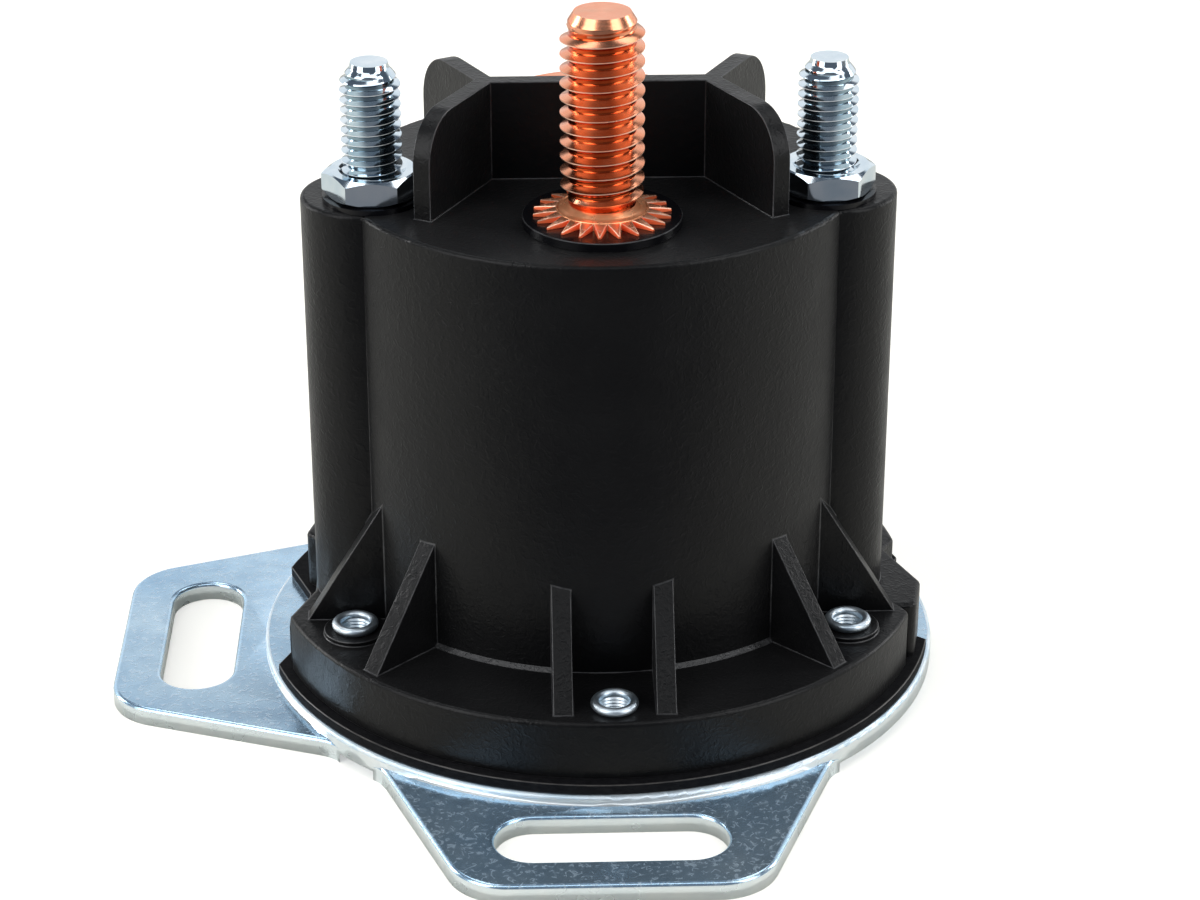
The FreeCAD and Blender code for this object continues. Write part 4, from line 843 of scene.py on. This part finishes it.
# The front lock washer.
# Pressed from copper strip: a dished hub round the stud and twenty-two folded, twisted teeth.
STRIP_DARK, STRIP_LIGHT = (0.94, 0.36, 0.18), (0.99, 0.50, 0.30)
SIDE_SHADE_DARK, SIDE_SHADE_LIGHT = (0.85, 0.13, 0.04), (0.95, 0.20, 0.07)
DISHED_DARK, DISHED_LIGHT = (0.98, 0.38, 0.17), (1.00, 0.47, 0.24)
TOP_FINISH, SIDE_FINISH, RIM_FINISH, HUB_FINISH = range(4)
TOOTH_COUNT = 22
TOOTH_START = 0.25
TOOTH_FOOT = 0.05337
TOOTH_ROUNDING = 0.00007
TOOTH_TOP_FACE = 0.5
HUB_OUTLINE = [
    (0.00306, 0.05456), (0.00318, 0.05455), (0.00328, 0.05449), (0.00358, 0.05418),
    (0.00372, 0.05408), (0.00414, 0.05403), (0.00424, 0.05409), (0.00433, 0.05408),
    (0.00440, 0.05400), (0.00450, 0.05370), (0.00456, 0.05338), (0.00306, 0.05338),
]
# Each section of a tooth: radius, half its width at the top and at the foot, and its top level.
TOOTH_SECTIONS = (
    (0.00432, 0.00060, 0.00062, 0.05404),
    (0.00550, 0.00031, 0.00036, 0.05384),
    (0.00652, 0.00006, 0.00012, 0.05362),
)


def folded_tooth():
    """One tooth that points along X from the axis, drawn through its sections."""
    tooth = bmesh.new()
    loops = []
    for r, top_half, foot_half, top in TOOTH_SECTIONS:
        corners = (
            (-foot_half, TOOTH_FOOT), (foot_half, TOOTH_FOOT),
            (top_half, top), (-top_half, top),
        )
        verts = [tooth.verts.new((r, across, z)) for across, z in corners]
        loops.append([tooth.edges.new(pair) for pair in zip(verts, verts[1:] + verts[:1])])
    for inner, outer in zip(loops, loops[1:]):
        bmesh.ops.bridge_loops(tooth, edges=inner + outer)
    close_ends(tooth)
    # Side faces take a darker, redder copper than the tops: painted shade.
    for face in tooth.faces:
        face.material_index = TOP_FINISH if face.normal.z > TOOTH_TOP_FACE else SIDE_FINISH
    above = TOOTH_FOOT + TOOTH_ROUNDING
    rims = [edge for edge in tooth.edges if min(vert.co.z for vert in edge.verts) > above]
    rounded = bmesh.ops.bevel(
        tooth, geom=rims, offset=TOOTH_ROUNDING, affect="EDGES", segments=2,
        profile=0.5, material=-1,
    )
    # The rounded rims take the paler copper: a painted highlight.
    for face in rounded["faces"]:
        face.material_index = RIM_FINISH
    return tooth


def lock_washer():
    bm = bmesh.new()
    turn_profile(bm, POWER_AXIS, HUB_OUTLINE)
    for face in bm.faces:
        face.material_index = HUB_FINISH
    tooth = folded_tooth()
    pattern = bpy.data.meshes.new("tooth")
    tooth.to_mesh(pattern)
    tooth.free()
    for count in range(TOOTH_COUNT):
        before = len(bm.verts)
        bm.from_mesh(pattern)
        bm.verts.ensure_lookup_table()
        fresh = bm.verts[before:]
        turn = Matrix.Rotation(2 * math.pi * (count + TOOTH_START) / TOOTH_COUNT, 3, "Z")
        bmesh.ops.rotate(bm, verts=fresh, cent=(0.0, 0.0, 0.0), matrix=turn)
        bmesh.ops.translate(bm, verts=fresh, vec=(*POWER_AXIS, 0.0))
    bpy.data.meshes.remove(pattern)
    return bm


pressed_copper = polished_copper(
    "pressed_copper", POWER_AXIS, 0.22, 0.34, STRIP_DARK, STRIP_LIGHT, metallic=0.80,
)
# The teeth's sides are painted darker and redder: painted shade.
tooth_side_shade_copper = polished_copper(
    "tooth_side_shade_copper", POWER_AXIS, 0.36, 0.50, SIDE_SHADE_DARK, SIDE_SHADE_LIGHT, metallic=0.50,
)
dished_copper = polished_copper(
    "dished_copper", POWER_AXIS, 0.20, 0.30, DISHED_DARK, DISHED_LIGHT, metallic=0.62,
)
star = add_piece("front_star_washer_pressed", lock_washer(), pressed_copper)
for finish in (tooth_side_shade_copper, crest_highlight_copper, dished_copper):
    star.data.materials.append(finish)
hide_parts("front_star_washer")


# The rear terminal.
# A tapped copper post with a copper disc round it, mostly hidden behind the barrier.
REAR_AXIS = (0.0, 0.0125)

rear_copper = polished_copper("rear_copper", REAR_AXIS)
for node in ("rear_power_terminal", "rear_terminal_disc"):
    dress(node, rear_copper)


# The coil studs.
# Two steel screws, bright zinc plated, with a finer thread and a turned end.
SHADED_DARK, SHADED_LIGHT = (0.20, 0.29, 0.35), (0.34, 0.45, 0.52)
CREST_HIGHLIGHT_DARK, CREST_HIGHLIGHT_LIGHT = (0.86, 0.91, 0.94), (0.95, 0.97, 0.98)
COIL_AXES = {"left": (-0.0217, -0.0053), "right": (0.0217, -0.0053)}
COIL_CREST = 0.0029
COIL_ROOT = 0.00229
COIL_PITCH = 0.001
COIL_TIP, COIL_TIP_RADIUS = 0.0661, 0.00179
COIL_POINT, COIL_POINT_RADIUS = COIL_TIP - 0.0005, 0.00190
COIL_CHAMFER, COIL_CHAMFER_ROOT, COIL_CHAMFER_CREST = COIL_TIP - 0.0010, 0.00222, 0.00232
COIL_LAST_ROOT = COIL_TIP - 0.0011
COIL_LAST_CREST = COIL_TIP - 0.0018
COIL_FOOT = 0.0524
COIL_SHANK = 0.0026
COIL_HEAD = 0.0036
COIL_HEAD_UNDER = 0.04705

# Thread roots are painted darker, as painted shade, and crests paler, as a painted highlight.
shaded_zinc = bright_zinc("shaded_zinc", 0.16, 0.24, SHADED_DARK, SHADED_LIGHT)
crest_highlight_zinc = bright_zinc("crest_highlight_zinc", 0.30, 0.42, CREST_HIGHLIGHT_DARK, CREST_HIGHLIGHT_LIGHT, metallic=0.6)
for side, axis in COIL_AXES.items():
    bm = bmesh.new()
    thread_turns(bm, axis, COIL_ROOT, COIL_CREST, COIL_PITCH, COIL_FOOT, COIL_TIP)
    cut_level(bm, COIL_TIP, keep="below")
    cut_level(bm, COIL_POINT)
    cut_level(bm, COIL_CHAMFER)
    cut_level(bm, COIL_FOOT, keep="above")
    limit_radius(
        bm, axis,
        (COIL_FOOT, COIL_LAST_CREST, COIL_CHAMFER, COIL_POINT, COIL_TIP),
        (0.0, 0.0, COIL_CHAMFER_ROOT, COIL_POINT_RADIUS, COIL_TIP_RADIUS),
        (COIL_CREST, COIL_CREST, COIL_CHAMFER_CREST, COIL_POINT_RADIUS, COIL_TIP_RADIUS),
    )
    draw_shank(bm, axis, (
        (COIL_SHANK, COIL_FOOT), (COIL_SHANK, DECK_UNDER),
        (COIL_HEAD, DECK_UNDER), (COIL_HEAD, COIL_HEAD_UNDER),
    ))
    close_ends(bm)
    finish_by_radius(bm, axis, COIL_ROOT, COIL_CREST, COIL_FOOT, COIL_LAST_ROOT)
    screw = add_piece(side + "_coil_stud_threaded", bm, plated)
    screw.data.materials.append(shaded_zinc)
    screw.data.materials.append(crest_highlight_zinc)
    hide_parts(side + "_coil_stud")


# The coil nuts.
# Two steel hex nuts, bright zinc plated, chamfered at both ends and countersunk at the hole.
NUT_FLATS = 0.0085
NUT_BOTTOM, NUT_TOP = 0.05295, 0.05545
NUT_BORE, NUT_BORE_BELOW = 0.00240, 0.0008
NUT_SINK, NUT_SINK_BELOW = 0.00275, 0.0005
NUT_MOUTH = 0.00325
NUT_CHAMFER_RADIUS = 0.00408
NUT_CHAMFER_SLOPE = math.tan(math.radians(30.0))
NUT_TURNS = {"left": math.radians(-90.0), "right": math.radians(-85.0)}


def hex_nut(axis, turn):
    """A turned ring whose outer wall is drawn out to the six flats, between two chamfer cones."""
    bm = bmesh.new()
    corner = NUT_FLATS / 2 / math.cos(math.pi / 6)
    turn_profile(bm, axis, [
        (NUT_BORE, NUT_BOTTOM), (NUT_CHAMFER_RADIUS, NUT_BOTTOM), (corner, NUT_BOTTOM),
        (corner, NUT_TOP), (NUT_CHAMFER_RADIUS, NUT_TOP), (NUT_MOUTH, NUT_TOP),
        (NUT_SINK, NUT_TOP - NUT_SINK_BELOW), (NUT_BORE, NUT_TOP - NUT_BORE_BELOW),
    ])
    for vert in bm.verts:
        away = Vector((vert.co.x - axis[0], vert.co.y - axis[1]))
        if away.length < corner - 1e-5:
            continue
        angle = math.atan2(away.y, away.x) - turn
        off_flat = (angle + math.pi / 6) % (math.pi / 3) - math.pi / 6
        reach = NUT_FLATS / 2 / math.cos(off_flat)
        away *= reach / away.length
        drop = max(reach - NUT_CHAMFER_RADIUS, 0.0) * NUT_CHAMFER_SLOPE
        vert.co.x = axis[0] + away.x
        vert.co.y = axis[1] + away.y
        if vert.co.z > (NUT_TOP + NUT_BOTTOM) / 2:
            vert.co.z = NUT_TOP - drop
        else:
            vert.co.z = NUT_BOTTOM + drop
    bmesh.ops.recalc_face_normals(bm, faces=bm.faces)
    return bm


for side, axis in COIL_AXES.items():
    bm = hex_nut(axis, NUT_TURNS[side])
    nut = add_piece(side + "_coil_nut_chamfered", bm, plated, sharp=20.0)
    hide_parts(side + "_coil_nut")


# The works inside.
# A steel can, pole plate, core and plunger, a brass tube and rod, a nylon bobbin wound with
# enamelled wire, the copper contact disc in nylon bushes, and two steel springs. Each spring gets a
# mesh of its own.
WIRE_DARK, WIRE_LIGHT = (0.25, 0.06, 0.02), (0.60, 0.18, 0.06)
NYLON_DARK, NYLON_LIGHT = (0.68, 0.64, 0.54), (0.80, 0.78, 0.70)
STEEL_GREY = (0.50, 0.51, 0.52)
BRASS_YELLOW = (0.80, 0.55, 0.22)
PLUNGER_TRAVEL = 0.0028
DISC_TRAVEL = 0.0008
RETURN_SPRING_SEAT = 0.0200
CONTACT_SPRING_SEAT = 0.0361


def plain_steel():
    finish = new_finish("plain_steel", STEEL_GREY, 0.35, metallic=1.0)
    mill = add_pattern(finish, "ShaderNodeTexNoise", 300.0, stretch=(1.0, 1.0, 6.0), Detail=4.0)
    roughen_between(finish, spread(finish, mill.outputs["Fac"], 0.3, 0.7), 0.28, 0.45)
    press_in(finish, mill.outputs["Fac"], 0.000004)
    return finish


def enamelled_wire():
    finish = new_finish("enamelled_wire", WIRE_LIGHT, 0.25, metallic=1.0)
    turns = add_pattern(
        finish, "ShaderNodeTexWave", 700.0, bands_direction="Z", Distortion=0.2, Detail=0.0,
    )
    press_in(finish, turns.outputs["Fac"], 0.0001)
    # The grooves between the wire's turns are painted darker: painted shade.
    colour_between(finish, turns.outputs["Fac"], WIRE_DARK, WIRE_LIGHT)
    return finish


def natural_nylon():
    finish = new_finish("natural_nylon", NYLON_LIGHT, 0.45)
    haze = add_pattern(finish, "ShaderNodeTexNoise", 200.0, Detail=3.0)
    colour_between(finish, haze.outputs["Fac"], NYLON_DARK, NYLON_LIGHT)
    press_in(finish, haze.outputs["Fac"], 0.00001)
    return finish


def drawn_brass():
    finish = new_finish("drawn_brass", BRASS_YELLOW, 0.3, metallic=1.0)
    draw = add_pattern(finish, "ShaderNodeTexNoise", 400.0, stretch=(1.0, 1.0, 12.0), Detail=3.0)
    roughen_between(finish, draw.outputs["Fac"], 0.22, 0.38)
    return finish


for finish, works in (
    (plain_steel(), (
        "coil_can", "pole_plate", "fixed_core", "plunger", "rod_collar", "rod_clip",
        "return_spring", "contact_spring",
    )),
    (enamelled_wire(), ("coil_winding", "left_coil_lead", "right_coil_lead")),
    (natural_nylon(), ("coil_bobbin", "lower_bush", "upper_bush")),
    (drawn_brass(), ("guide_tube", "push_rod")),
    (polished_copper("contact_copper", (0.0, 0.0)), ("contact_disc",)),
    (gasket_black, ("plunger_bumper",)),
):
    for node in works:
        dress(node, finish)
for node, joint, travel, seat in (
    ("return_spring", "plunger_travel", PLUNGER_TRAVEL, RETURN_SPRING_SEAT),
    ("contact_spring", "contact_disc_travel", DISC_TRAVEL, CONTACT_SPRING_SEAT),
):
    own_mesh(nodes[node])
